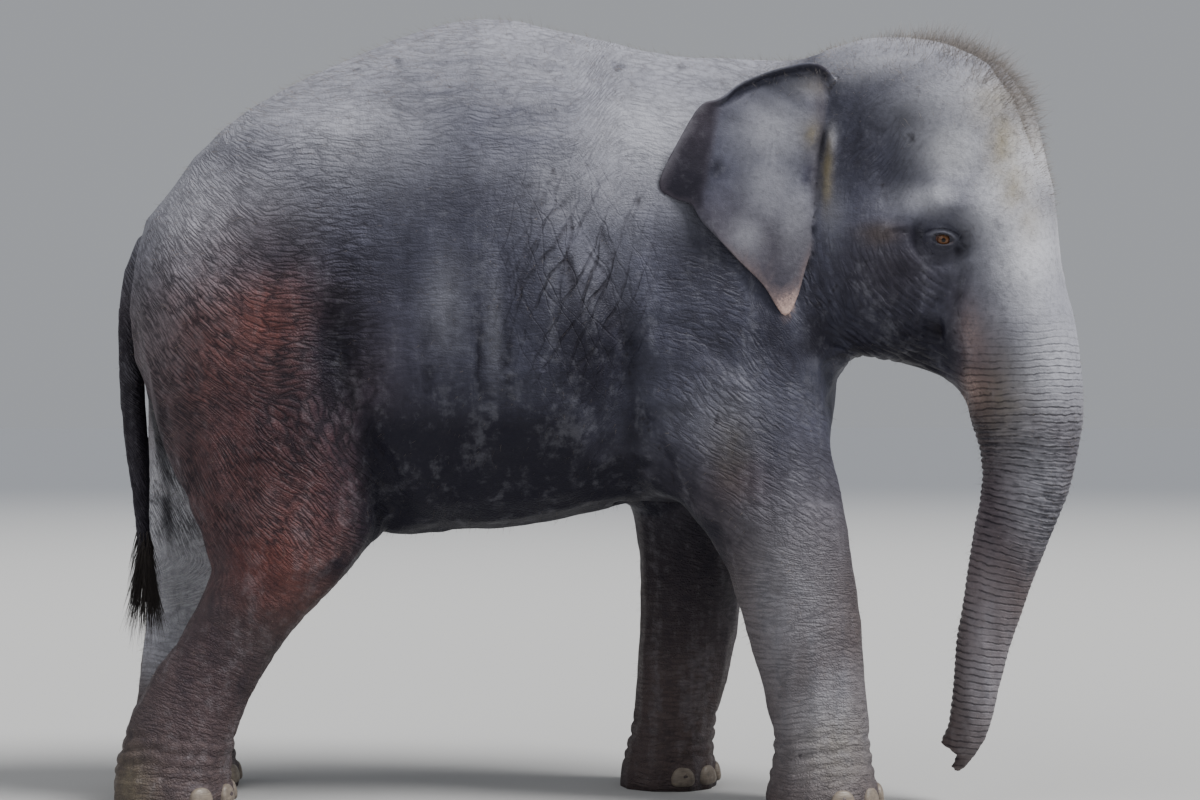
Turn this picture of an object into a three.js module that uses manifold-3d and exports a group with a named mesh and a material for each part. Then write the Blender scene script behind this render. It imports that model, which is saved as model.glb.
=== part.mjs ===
// A young Asian elephant standing at life size, in millimetres: 1.85 m at the shoulder.
// +X is forward, +Y is the animal's left, +Z is up, and the soles stand on z = 0.
//
// The flesh is one blended field of named masses: a barrel lofted along the back,
// a column for each leg, a skull, a jaw, and a trunk and tail strung along curves.
// The field is wrapped in facets block by block, and thin plane cuts part the blocks
// into head, neck, chest, belly, rump, trunk lengths and leg lengths.

import * as THREE from 'three';
import { LoftGeometry } from 'three/addons/geometries/LoftGeometry.js';
import { mergeVertices } from 'three/addons/utils/BufferGeometryUtils.js';
import Module from 'manifold-3d';

const wasm = await Module();
wasm.setup();

// ---------------------------------------------------------------- driving sizes

const CUT_GAP = 0.6; // clear width of a cut between two blocks of flesh
const FIT_GAP = 0.4; // clear space round an eye or a toenail in its pocket

const HEAD_YAW = THREE.MathUtils.degToRad( 24 ); // the head looks to the animal's right
const HEAD_PIVOT = new THREE.Vector3( 560, 0, 0 );
const NECK_CUT_X = - 75; // in the head's own frame, forward of the pivot
const THROAT_CUT_X = 84; // also in the head's frame: all below the throat and behind it is chest
const THROAT_CUT_Z = 1114;
const JAW_CUT_Z = 1150;

const WITHERS_CUT_X = 395;
const GIRTH_CUT_X = 30;
const LOIN_CUT_X = - 490;
const LEG_CUT_Z = 740;
const TUFT_CUT_Z = 530;
const FOOT_CUT_Z = 125;
const FORE_WRIST_CUT_Z = 420;
const HIND_KNEE_CUT_Z = 520;

const EYE_RADIUS = 20;
const EYE_FORWARD = 374;
const EYE_HEIGHT = 1377;

const COLOURS = {
	skin: 0x62646c,
	trunk: 0x6a6666,
	leg: 0x59504d,
	ear: 0x686a70,
	tail: 0x2c2a2d,
	eye: 0x5b3413,
	nail: 0x8b8073
};

// ---------------------------------------------------------------- field of masses

const clamp = THREE.MathUtils.clamp;

/** Blends two distances over a width, as flesh does where two masses meet. */
function blend( a, b, width ) {

	const h = Math.max( width - Math.abs( a - b ), 0 ) / width;
	return Math.min( a, b ) - h * h * width * 0.25;

}

/** A field whose value is not a length, turned into about a length by its slope. */
function levelled( raw ) {

	const step = 2;
	return ( x, y, z ) => {

		const value = raw( x, y, z );
		const slope = Math.hypot(
			raw( x + step, y, z ) - value, raw( x, y + step, z ) - value, raw( x, y, z + step ) - value
		) / step;
		return value / Math.max( slope, 1e-4 );

	};

}

/** An egg of three radii, tipped by pitch about Y and turned by yaw about Z. */
function egg( centre, radii, pitch = 0, yaw = 0 ) {

	const turn = new THREE.Matrix4().makeRotationFromEuler( new THREE.Euler( 0, pitch, yaw, 'ZYX' ) );
	const inverse = turn.setPosition( ...centre ).invert();
	const point = new THREE.Vector3();
	return ( x, y, z ) => {

		point.set( x, y, z ).applyMatrix4( inverse );
		const near = Math.hypot( point.x / radii[ 0 ], point.y / radii[ 1 ], point.z / radii[ 2 ] );
		const far = Math.hypot(
			point.x / radii[ 0 ] ** 2, point.y / radii[ 1 ] ** 2, point.z / radii[ 2 ] ** 2
		);
		return near * ( near - 1 ) / Math.max( far, 1e-6 );

	};

}

/** A pair of eggs, one on each side of the middle plane. */
function eggPair( [ x, y, z ], radii, pitch = 0, yaw = 0 ) {

	const left = egg( [ x, y, z ], radii, pitch, yaw );
	return ( px, py, pz ) => left( px, Math.abs( py ), pz );

}

/**
 * A solid strung along a smooth curve. Each stop is [x, y, z, radius], and
 * flatness widens (over 1) or narrows (under 1) it across the body.
 */
function strand( stops, flatness = 1, lengths = 24 ) {

	const curve = new THREE.CatmullRomCurve3(
		stops.map( ( [ x, y, z ] ) => new THREE.Vector3( x, y, z ) ), false, 'centripetal'
	);
	const beads = [];
	for ( let i = 0; i <= lengths; i ++ ) {

		const along = i / lengths * ( stops.length - 1 );
		const before = Math.min( Math.floor( along ), stops.length - 2 );
		const radius = THREE.MathUtils.lerp( stops[ before ][ 3 ], stops[ before + 1 ][ 3 ], along - before );
		beads.push( { at: curve.getPoint( i / lengths ), radius } );

	}

	return ( x, y, z ) => {

		let nearest = Infinity;
		for ( let i = 0; i < lengths; i ++ ) {

			const { at: a, radius: ra } = beads[ i ];
			const { at: b, radius: rb } = beads[ i + 1 ];
			const ex = b.x - a.x, ey = b.y - a.y, ez = b.z - a.z;
			const px = x - a.x, py = y - a.y, pz = z - a.z;
			const t = clamp( ( px * ex + py * ey + pz * ez ) / ( ex * ex + ey * ey + ez * ez ), 0, 1 );
			const away = Math.hypot( px - t * ex, ( py - t * ey ) / flatness, pz - t * ez );
			nearest = Math.min( nearest, away - THREE.MathUtils.lerp( ra, rb, t ) );

		}

		return nearest;

	};

}

/** Smoothly interpolated rows of numbers; the first number of each row is where it applies. */
function profile( rows ) {

	const width = rows[ 0 ].length - 1;
	const curve = new THREE.CubicInterpolant(
		rows.map( ( row ) => row[ 0 ] ), rows.flatMap( ( row ) => row.slice( 1 ) ), width, new Float64Array( width )
	);
	const first = rows[ 0 ][ 0 ];
	const last = rows[ rows.length - 1 ][ 0 ];
	return ( at ) => ( {
		values: curve.evaluate( clamp( at, first, last ) ),
		beyond: Math.max( first - at, at - last, 0 )
	} );

}

/** An oval section's value: 0 on the oval, with round corners set by the power. */
function oval( across, halfAcross, up, halfUp, power ) {

	const a = Math.abs( across / halfAcross ) ** power;
	const b = Math.abs( up / halfUp ) ** power;
	return ( a + b ) ** ( 1 / power );

}

/** A barrel along X: rows are [x, top, bottom, halfWidth, middleY]. */
function barrel( rows, endCap ) {

	const at = profile( rows );
	return levelled( ( x, y, z ) => {

		const { values: [ top, bottom, half, middle ], beyond } = at( x );
		const rise = ( top - bottom ) / 2;
		const height = ( z - ( top + bottom ) / 2 ) / rise;
		const width = half * ( height > 0 ? 1 - 0.16 * Math.min( height, 1 ) ** 2 : 1 );
		const round = oval( y - middle, width, height, 1, 2.15 );
		return ( Math.hypot( round, beyond / endCap ) - 1 ) * Math.min( half, rise );

	} );

}

/** A column along Z: rows are [z, rear, front, middleY, halfWidth]. */
function column( rows, endCap, power = 2.2 ) {

	const at = profile( rows );
	return levelled( ( x, y, z ) => {

		const { values: [ rear, front, middle, half ], beyond } = at( z );
		const reach = ( front - rear ) / 2;
		const round = oval( x - ( front + rear ) / 2, reach, y - middle, half, power );
		return ( Math.hypot( round, beyond / endCap ) - 1 ) * Math.min( reach, half );

	} );

}

/** A body of masses: each is a field with the width over which it blends into the rest. */
function fleshOf( masses, hollows = [] ) {

	return ( x, y, z ) => {

		let value = masses[ 0 ].field( x, y, z );
		for ( let i = 1; i < masses.length; i ++ ) {

			value = blend( value, masses[ i ].field( x, y, z ), masses[ i ].soft );

		}

		for ( const { field, soft } of hollows ) value = - blend( - value, field( x, y, z ), soft );
		return value;

	};

}

// ---------------------------------------------------------------- body and legs

const back = barrel( [
	[ - 1085, 1486, 990, 225, 0 ],
	[ - 1000, 1606, 915, 285, 0 ],
	[ - 875, 1708, 850, 318, 0 ],
	[ - 680, 1806, 770, 342, 0 ],
	[ - 480, 1892, 668, 368, 0 ],
	[ - 270, 1934, 668, 390, 0 ],
	[ - 60, 1892, 702, 376, 0 ],
	[ 150, 1850, 756, 318, 0 ],
	[ 340, 1840, 850, 244, - 4 ],
	[ 480, 1838, 990, 216, - 26 ],
	[ 640, 1850, 1150, 190, - 84 ]
], 72 );

const foreRight = column( [
	[ - 40, 404, 676, - 200, 134 ],
	[ 60, 404, 676, - 200, 132 ],
	[ 150, 424, 656, - 200, 113 ],
	[ 270, 398, 648, - 200, 104 ],
	[ 390, 362, 638, - 202, 104 ],
	[ 505, 332, 624, - 204, 110 ],
	[ 600, 296, 612, - 206, 118 ],
	[ 700, 228, 598, - 203, 128 ],
	[ 820, 150, 574, - 192, 136 ],
	[ 960, 112, 552, - 174, 134 ],
	[ 1130, 112, 552, - 146, 112 ]
], 170 );

const foreLeft = column( [
	[ - 40, 50, 300, 200, 130 ],
	[ 60, 56, 296, 200, 129 ],
	[ 150, 80, 294, 200, 112 ],
	[ 270, 94, 328, 200, 104 ],
	[ 390, 102, 352, 202, 104 ],
	[ 505, 105, 368, 204, 110 ],
	[ 600, 102, 392, 206, 118 ],
	[ 700, 84, 430, 203, 128 ],
	[ 820, 62, 476, 192, 136 ],
	[ 960, 72, 524, 174, 134 ],
	[ 1130, 100, 548, 146, 112 ]
], 170 );

const hindRight = column( [
	[ - 40, - 1182, - 896, - 178, 136 ],
	[ 60, - 1182, - 896, - 178, 134 ],
	[ 160, - 1164, - 894, - 178, 112 ],
	[ 280, - 1116, - 848, - 180, 96 ],
	[ 400, - 1034, - 772, - 184, 96 ],
	[ 500, - 978, - 684, - 188, 108 ],
	[ 590, - 946, - 598, - 188, 124 ],
	[ 690, - 980, - 552, - 180, 142 ],
	[ 860, - 1050, - 520, - 168, 164 ],
	[ 1040, - 1096, - 540, - 152, 168 ],
	[ 1200, - 1110, - 620, - 135, 160 ]
], 200 );

const hindLeft = column( [
	[ - 40, - 1212, - 930, 178, 134 ],
	[ 60, - 1212, - 930, 178, 132 ],
	[ 160, - 1196, - 948, 178, 110 ],
	[ 280, - 1184, - 948, 180, 96 ],
	[ 400, - 1166, - 922, 184, 96 ],
	[ 500, - 1160, - 876, 188, 108 ],
	[ 590, - 1160, - 816, 188, 124 ],
	[ 690, - 1160, - 748, 180, 142 ],
	[ 860, - 1156, - 640, 168, 164 ],
	[ 1040, - 1140, - 590, 152, 168 ],
	[ 1200, - 1116, - 620, 135, 160 ]
], 200 );

const body = fleshOf( [
	{ field: back },
	{ field: foreRight, soft: 90 },
	{ field: foreLeft, soft: 90 },
	{ field: hindRight, soft: 90 },
	{ field: hindLeft, soft: 90 },
	// shoulder blades, point of the shoulder, hip bones and the brisket between the forelegs
	{ field: eggPair( [ 245, 150, 1330 ], [ 180, 118, 320 ], 0.22 ), soft: 120 },
	{ field: eggPair( [ 438, 132, 1100 ], [ 106, 92, 150 ] ), soft: 90 },
	{ field: eggPair( [ - 700, 190, 1480 ], [ 190, 120, 180 ], 0.4 ), soft: 120 },
	{ field: egg( [ 390, 0, 960 ], [ 190, 150, 190 ], 0.5 ), soft: 100 },
	// navel fold
	{ field: egg( [ - 395, 0, 700 ], [ 70, 46, 44 ] ), soft: 50 }
] );

// ---------------------------------------------------------------- head, in its own frame

const skull = column( [
	[ 940, 406, 628, 0, 110 ],
	[ 1010, 398, 634, 0, 116 ],
	[ 1080, 364, 628, 0, 124 ],
	[ 1160, 250, 616, 0, 144 ],
	[ 1250, 120, 602, 0, 172 ],
	[ 1340, 20, 590, 0, 192 ],
	[ 1430, - 56, 582, 0, 202 ],
	[ 1520, - 84, 564, 0, 202 ],
	[ 1620, - 76, 506, 0, 197 ],
	[ 1710, - 46, 462, 0, 186 ],
	[ 1768, 10, 416, 0, 162 ]
], 92, 2.7 );

const trunkStops = [
	[ 500, 0, 1110, 126 ], [ 516, 0, 990, 125 ], [ 528, 0, 895, 114 ], [ 519, 0, 805, 106 ],
	[ 494, 0, 712, 95 ], [ 468, 0, 625, 86 ], [ 446, 0, 545, 78 ], [ 426, 0, 465, 71 ],
	[ 408, 0, 390, 64 ], [ 394, 0, 310, 58 ], [ 382, 0, 235, 53 ], [ 364, 0, 170, 48 ],
	[ 332, 0, 124, 42 ], [ 296, 0, 106, 34 ]
];
const trunk = strand( trunkStops, 0.94, 52 );

const jaw = strand( [
	[ 120, 0, 1240, 96 ], [ 220, 0, 1170, 88 ], [ 310, 0, 1118, 66 ],
	[ 362, 0, 1066, 46 ], [ 388, 0, 1012, 26 ]
], 1.5 );

const headMasses = [
	{ field: skull },
	{ field: trunk, soft: 60 },
	{ field: jaw, soft: 34 },
	// domes of the crown, forehead, brow ridges and cheekbones
	{ field: eggPair( [ 225, 92, 1738 ], [ 200, 108, 128 ], 0.1 ), soft: 60 },
	{ field: eggPair( [ 412, 84, 1630 ], [ 110, 88, 180 ], - 0.25 ), soft: 70 },
	{ field: eggPair( [ 400, 150, 1452 ], [ 120, 62, 60 ], 0.3, - 0.35 ), soft: 50 },
	{ field: eggPair( [ 250, 160, 1390 ], [ 170, 62, 62 ], 0.12 ), soft: 60 },
	// chewing muscle of the cheek, and the pad round the root of the trunk
	{ field: eggPair( [ 178, 118, 1268 ], [ 190, 118, 168 ], 0.35 ), soft: 60 },
	{ field: eggPair( [ 470, 70, 1180 ], [ 120, 82, 150 ], - 0.1 ), soft: 60 }
];
const headHollows = [
	// temples, and the dip between the domes
	{ field: eggPair( [ 235, 262, 1560 ], [ 120, 70, 110 ] ), soft: 60 },
	{ field: egg( [ 300, 0, 1882 ], [ 190, 22, 40 ] ), soft: 40 }
];
const headFlesh = fleshOf( headMasses, headHollows );

const headTurn = new THREE.Matrix4().makeRotationZ( - HEAD_YAW ).setPosition( HEAD_PIVOT );
const headTurnBack = headTurn.clone().invert();

/** The head's field where it stands on the body, for the blend at the neck. */
function headInPlace( x, y, z ) {

	const p = new THREE.Vector3( x, y, z ).applyMatrix4( headTurnBack );
	return headFlesh( p.x, p.y, p.z );

}

/** The body's field seen from the head's frame, blended into the head. */
function headWithNeck( x, y, z ) {

	const p = new THREE.Vector3( x, y, z ).applyMatrix4( headTurn );
	return blend( headFlesh( x, y, z ), body( p.x, p.y, p.z ), 70 );

}

const bodyWithHead = ( x, y, z ) => blend( body( x, y, z ), headInPlace( x, y, z ), 70 );

// ---------------------------------------------------------------- wrapping a field in facets

const SETTLE_ROUNDS = 4;

/**
 * Wraps the zero surface of a field inside a box in near-square facets.
 * One point stands in each lattice cell that the surface crosses; the points are
 * relaxed along the surface and put back on it.
 */
function wrap( field, low, high, cell ) {

	const count = cell.map( ( size, axis ) => Math.ceil( ( high[ axis ] - low[ axis ] ) / size ) + 3 );
	const [ nx, ny, nz ] = count;
	const place = ( i, axis ) => low[ axis ] + ( i - 1 ) * cell[ axis ];
	const boxed = ( x, y, z ) => Math.max(
		field( x, y, z ), low[ 0 ] - x, x - high[ 0 ], low[ 1 ] - y, y - high[ 1 ], low[ 2 ] - z, z - high[ 2 ]
	);
	const node = ( i, j, k ) => i + nx * ( j + ny * k );
	const values = new Float64Array( nx * ny * nz );
	for ( let k = 0; k < nz; k ++ ) for ( let j = 0; j < ny; j ++ ) for ( let i = 0; i < nx; i ++ ) {

		values[ node( i, j, k ) ] = boxed( place( i, 0 ), place( j, 1 ), place( k, 2 ) ) + 1e-7;

	}

	const steps = [ [ 1, 0, 0 ], [ 0, 1, 0 ], [ 0, 0, 1 ] ];
	const cellPoint = new Map();
	const points = [];

	/** The lattice cell's point: the mean of where its edges cross the surface. */
	function pointOf( i, j, k ) {

		const key = node( i, j, k );
		if ( cellPoint.has( key ) ) return cellPoint.get( key );
		const sum = new THREE.Vector3();
		let crossings = 0;
		for ( let axis = 0; axis < 3; axis ++ ) {

			for ( let corner = 0; corner < 4; corner ++ ) {

				const start = [ i, j, k ];
				start[ ( axis + 1 ) % 3 ] += corner & 1;
				start[ ( axis + 2 ) % 3 ] += corner >> 1;
				const end = start.map( ( n, a ) => n + steps[ axis ][ a ] );
				const a = values[ node( ...start ) ];
				const b = values[ node( ...end ) ];
				if ( a < 0 === b < 0 ) continue;
				const t = a / ( a - b );
				sum.add( new THREE.Vector3( ...start.map( ( n, c ) => place( n + ( end[ c ] - n ) * t, c ) ) ) );
				crossings ++;

			}

		}

		points.push( sum.divideScalar( crossings ) );
		cellPoint.set( key, points.length - 1 );
		return points.length - 1;

	}

	const quads = [];
	for ( let k = 1; k < nz - 1; k ++ ) for ( let j = 1; j < ny - 1; j ++ ) for ( let i = 1; i < nx - 1; i ++ ) {

		const here = values[ node( i, j, k ) ] < 0;
		for ( let axis = 0; axis < 3; axis ++ ) {

			const [ di, dj, dk ] = steps[ axis ];
			if ( here === values[ node( i + di, j + dj, k + dk ) ] < 0 ) continue;
			const u = steps[ ( axis + 1 ) % 3 ];
			const v = steps[ ( axis + 2 ) % 3 ];
			const cellAt = ( a, b ) => pointOf(
				i - a * u[ 0 ] - b * v[ 0 ], j - a * u[ 1 ] - b * v[ 1 ], k - a * u[ 2 ] - b * v[ 2 ]
			);
			const ring = [ cellAt( 1, 1 ), cellAt( 0, 1 ), cellAt( 0, 0 ), cellAt( 1, 0 ) ];
			quads.push( here ? ring : ring.reverse() );

		}

	}

	settle( boxed, points, quads, Math.min( ...cell ) );
	const index = quads.flatMap( ( [ a, b, c, d ] ) => (
		points[ a ].distanceTo( points[ c ] ) < points[ b ].distanceTo( points[ d ] )
			? [ a, b, c, a, c, d ] : [ a, b, d, b, c, d ]
	) );
	const geometry = new THREE.BufferGeometry();
	const places = points.flatMap( ( p ) => p.toArray() );
	geometry.setAttribute( 'position', new THREE.Float32BufferAttribute( places, 3 ) );
	geometry.setIndex( index );
	return geometry;

}

/** Evens out a wrapping: each point moves towards its neighbours, then back to the surface. */
function settle( field, points, quads, reach ) {

	const neighbours = points.map( () => new Set() );
	for ( const quad of quads ) {

		quad.forEach( ( a, n ) => {

			neighbours[ a ].add( quad[ ( n + 1 ) % 4 ] );
			neighbours[ a ].add( quad[ ( n + 3 ) % 4 ] );

		} );

	}

	const slope = new THREE.Vector3();
	const step = 1;
	for ( let round = 0; round < SETTLE_ROUNDS; round ++ ) {

		const means = neighbours.map( ( around ) => {

			const mean = new THREE.Vector3();
			around.forEach( ( n ) => mean.add( points[ n ] ) );
			return mean.divideScalar( around.size );

		} );
		points.forEach( ( p, n ) => {

			const last = round === SETTLE_ROUNDS - 1; // the last round only puts points back on the surface
			if ( ! last ) p.lerp( means[ n ], 0.5 );
			for ( let pass = 0; pass < 2; pass ++ ) {

				const value = field( p.x, p.y, p.z );
				slope.set(
					field( p.x + step, p.y, p.z ) - value,
					field( p.x, p.y + step, p.z ) - value,
					field( p.x, p.y, p.z + step ) - value
				).divideScalar( step );
				const move = clamp( value / Math.max( slope.lengthSq(), 0.05 ), - reach, reach );
				p.addScaledVector( slope, - move );

			}

		} );

	}

}

// ---------------------------------------------------------------- solids and cuts

const CUTTER_SIZE = 6000;

/** A closed geometry as a solid that can be joined and cut. */
function solidOf( geometry ) {

	const vertProperties = new Float32Array( geometry.getAttribute( 'position' ).array );
	const triVerts = new Uint32Array( geometry.index.array );
	const mesh = new wasm.Mesh( { numProp: 3, vertProperties, triVerts } );
	mesh.merge();
	return new wasm.Manifold( mesh );

}

/** A library geometry with its shared points merged, ready to be a solid. */
function bare( geometry ) {

	const plain = new THREE.BufferGeometry().copy( geometry );
	plain.deleteAttribute( 'normal' );
	plain.deleteAttribute( 'uv' );
	return mergeVertices( plain, 1e-3 );

}

/** A solid as a geometry again. */
function geometryOf( solid ) {

	const mesh = solid.getMesh();
	const geometry = new THREE.BufferGeometry();
	const places = new Float32Array( mesh.vertProperties );
	geometry.setAttribute( 'position', new THREE.BufferAttribute( places, 3 ) );
	geometry.setIndex( new THREE.BufferAttribute( new Uint32Array( mesh.triVerts ), 1 ) );
	return geometry;

}

/** Everything on the far side of a plane, as one big box: what a cut takes away. */
function beyond( point, direction ) {

	const normal = new THREE.Vector3( ...direction ).normalize();
	const box = new THREE.BoxGeometry( CUTTER_SIZE, CUTTER_SIZE, CUTTER_SIZE );
	box.applyQuaternion( new THREE.Quaternion().setFromUnitVectors( new THREE.Vector3( 0, 0, 1 ), normal ) );
	const middle = new THREE.Vector3( ...point ).addScaledVector( normal, ( CUTTER_SIZE - CUT_GAP ) / 2 );
	return solidOf( box.translate( middle.x, middle.y, middle.z ) );

}

/** The largest piece of a solid that cuts have left in more than one. */
function largest( solid ) {

	const pieces = solid.decompose();
	return pieces.reduce( ( best, piece ) => piece.volume() > best.volume() ? piece : best );

}

/** A block of flesh: the field wrapped in a box, less all that lies beyond each plane. */
function block( field, low, high, cell, planes ) {

	let solid = solidOf( wrap( field, low, high, cell ) );
	for ( const [ point, direction ] of planes ) solid = solid.subtract( beyond( point, direction ) );
	return largest( solid );

}

const elephant = new THREE.Group();
const headGroup = new THREE.Group();
headGroup.applyMatrix4( headTurn );
elephant.add( headGroup );

/** Adds a named solid or geometry to a group, in a finish of its own. */
function addPart( name, shape, colour, roughness = 0.85, group = elephant ) {

	const geometry = shape.isBufferGeometry ? shape : geometryOf( shape );
	const finish = new THREE.MeshStandardMaterial( { color: colour, roughness, metalness: 0 } );
	const mesh = new THREE.Mesh( geometry, finish );
	mesh.name = name;
	group.add( mesh );

}

// ---------------------------------------------------------------- tail

const TAIL_SIDES = 8;
const tailStops = [
	[ - 1120, 0, 1396, 34 ], [ - 1154, 0, 1318, 33 ], [ - 1175, 0, 1215, 30 ], [ - 1179, - 3, 1105, 26 ],
	[ - 1174, - 6, 990, 23 ], [ - 1163, - 9, 870, 21 ], [ - 1148, - 10, 740, 18 ], [ - 1137, - 9, 620, 16 ],
	[ - 1131, - 8, TUFT_CUT_Z + CUT_GAP / 2, 14 ]
];
const tuftStops = [
	[ - 1131, - 8, TUFT_CUT_Z - CUT_GAP / 2, 14 ], [ - 1129, - 7, 480, 19 ], [ - 1129, - 6, 420, 21 ],
	[ - 1133, - 5, 375, 15 ], [ - 1137, - 4, 345, 6 ]
];

/** A hanging length with level rings, one for each stop: [x, y, z, radius]. */
function hanging( stops, grown = 0 ) {

	const sections = stops.map( ( [ x, y, z, radius ] ) => (
		Array.from( { length: TAIL_SIDES }, ( _, n ) => {

			const angle = - n / TAIL_SIDES * 2 * Math.PI;
			const reach = radius + grown;
			return new THREE.Vector3( x + reach * Math.cos( angle ), y + reach * Math.sin( angle ), z );

		} )
	) );
	return bare( new LoftGeometry( sections, { capStart: true, capEnd: true } ) );

}

addPart( 'tail', hanging( tailStops ), COLOURS.tail );
addPart( 'tail_tuft', hanging( tuftStops ), COLOURS.tail, 0.9 );

// ---------------------------------------------------------------- torso and neck

const BODY_CELL = [ 140, 102, 112 ];
const NECK_CELL = [ 84, 84, 96 ];
const HALF_WIDTH = 480; // a wrapping's box reaches past the flanks,
const TOP = 2050; // past the back
const TAIL_END = - 1300; // and past the rump
const MARGIN = 150; // and it goes more than a cell past the cut that ends the block
const away = ( vector ) => vector.map( ( n ) => - n );
const placed = ( x ) => new THREE.Vector3( x, 0, 0 ).applyMatrix4( headTurn ).toArray();
const neckWay = [ Math.cos( HEAD_YAW / 2 ), - Math.sin( HEAD_YAW / 2 ), 0 ];
const upwards = [ 0, 0, 1 ];
const downwards = [ 0, 0, - 1 ];
const withersCut = { at: [ WITHERS_CUT_X, 0, 1500 ], along: [ 0.97, 0, 0.24 ] };
const aboveThroat = beyond( [ 0, 0, THROAT_CUT_Z ], upwards );
const headRoom = beyond( placed( NECK_CUT_X ), neckWay ).intersect( aboveThroat )
	.add( beyond( placed( THROAT_CUT_X ), neckWay ) );
const neckRoom = beyond( withersCut.at, withersCut.along ).intersect( aboveThroat );

const rump = block(
	body, [ TAIL_END, - HALF_WIDTH, LEG_CUT_Z - MARGIN ], [ LOIN_CUT_X + MARGIN, HALF_WIDTH, TOP ], BODY_CELL, [
		[ [ LOIN_CUT_X, 0, 0 ], [ 1, 0, 0 ] ],
		[ [ 0, 0, LEG_CUT_Z ], downwards ]
	]
);
addPart( 'rump', rump.subtract( solidOf( hanging( tailStops, FIT_GAP ) ) ), COLOURS.skin );

const belly = block(
	body, [ LOIN_CUT_X - MARGIN, - HALF_WIDTH, 560 ], [ GIRTH_CUT_X + MARGIN, HALF_WIDTH, TOP ], BODY_CELL, [
		[ [ LOIN_CUT_X, 0, 0 ], [ - 1, 0, 0 ] ],
		[ [ GIRTH_CUT_X, 0, 0 ], [ 1, 0, 0 ] ]
	]
);
addPart( 'belly', belly, COLOURS.skin );

const chest = block(
	bodyWithHead,
	[ GIRTH_CUT_X - MARGIN, - HALF_WIDTH, LEG_CUT_Z - MARGIN ], [ 820, HALF_WIDTH, TOP ], BODY_CELL, [
		[ [ GIRTH_CUT_X, 0, 0 ], [ - 1, 0, 0 ] ],
		[ [ 0, 0, LEG_CUT_Z ], downwards ]
	]
);
addPart( 'chest', largest( chest.subtract( headRoom ).subtract( neckRoom ) ), COLOURS.skin );

const neck = block(
	bodyWithHead, [ 100, - HALF_WIDTH, THROAT_CUT_Z - MARGIN ], [ 800, HALF_WIDTH, TOP ], NECK_CELL, [
		[ withersCut.at, away( withersCut.along ) ],
		[ [ 0, 0, THROAT_CUT_Z ], downwards ]
	]
);
addPart( 'neck', largest( neck.subtract( headRoom ) ), COLOURS.skin );

// ---------------------------------------------------------------- legs, feet and toenails

const LEG_CELL = [ 70, 70, 108 ];
const FOOT_CELL = [ 86, 86, 58 ];
const LEG_MARGIN = 110; // how far a leg's wrapping goes past its cuts
const NAIL_SIZE = [ 17, 30, 27 ]; // radii: through, across and up
const NAIL_HEIGHT = 36;
const NAIL_LEAN = - 0.16; // the nail leans with the slope of the toe

const legs = [
	{
		name: 'fore_right', side: - 1, low: GIRTH_CUT_X, high: 760, knee: FORE_WRIST_CUT_Z,
		foot: [ 540, - 200, 131, 128 ], nails: [ - 74, - 37, 0, 37, 74 ]
	},
	{
		name: 'fore_left', side: 1, low: GIRTH_CUT_X, high: 760, knee: FORE_WRIST_CUT_Z,
		foot: [ 176, 200, 118, 125 ], nails: [ - 74, - 37, 0, 37, 74 ]
	},
	{
		name: 'hind_right', side: - 1, low: TAIL_END, high: LOIN_CUT_X, knee: HIND_KNEE_CUT_Z,
		foot: [ - 1039, - 178, 139, 131 ], nails: [ - 54, - 18, 18, 54 ]
	},
	{
		name: 'hind_left', side: 1, low: TAIL_END, high: LOIN_CUT_X, knee: HIND_KNEE_CUT_Z,
		foot: [ - 1071, 178, 137, 129 ], nails: [ - 54, - 18, 18, 54 ]
	}
];

/** One toenail: an egg of horn set in the rim of the foot, facing out at an angle. */
function toenail( [ x, y, reach, half ], degrees, grown ) {

	const angle = THREE.MathUtils.degToRad( degrees );
	const nail = new THREE.SphereGeometry( 1, 7, 4 );
	nail.scale( NAIL_SIZE[ 0 ] + grown, NAIL_SIZE[ 1 ] + grown, NAIL_SIZE[ 2 ] + grown );
	nail.rotateY( NAIL_LEAN );
	nail.rotateZ( angle );
	return nail.translate( x + Math.cos( angle ) * reach, y + Math.sin( angle ) * half, NAIL_HEIGHT );

}

for ( const { name, side, low, high, knee, foot, nails } of legs ) {

	const [ rightEdge, leftEdge ] = side > 0 ? [ - LEG_MARGIN, HALF_WIDTH ] : [ - HALF_WIDTH, LEG_MARGIN ];
	const legBlock = ( bottom, top, cell ) => block(
		body,
		[ low - LEG_MARGIN, rightEdge, bottom - LEG_MARGIN ],
		[ high + LEG_MARGIN, leftEdge, top + LEG_MARGIN ], cell, [
			[ [ 0, 0, 0 ], [ 0, - side, 0 ] ],
			[ [ 0, 0, top ], [ 0, 0, 1 ] ],
			[ [ 0, 0, bottom ], [ 0, 0, - 1 ] ],
			[ [ low, 0, 0 ], [ - 1, 0, 0 ] ],
			[ [ high, 0, 0 ], [ 1, 0, 0 ] ]
		]
	);
	addPart( `leg_${ name }_upper`, legBlock( knee, LEG_CUT_Z, LEG_CELL ), COLOURS.leg );
	addPart( `leg_${ name }_lower`, legBlock( FOOT_CUT_Z, knee, LEG_CELL ), COLOURS.leg );
	let sole = legBlock( - CUT_GAP / 2, FOOT_CUT_Z, FOOT_CELL );
	nails.forEach( ( degrees, n ) => {

		sole = sole.subtract( solidOf( bare( toenail( foot, degrees, FIT_GAP ) ) ) );
		addPart( `nail_${ name }_${ n + 1 }`, bare( toenail( foot, degrees, 0 ) ), COLOURS.nail, 0.55 );

	} );
	addPart( `foot_${ name }`, sole, COLOURS.leg );

}

// ---------------------------------------------------------------- head, jaw, trunk, eyes

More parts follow.
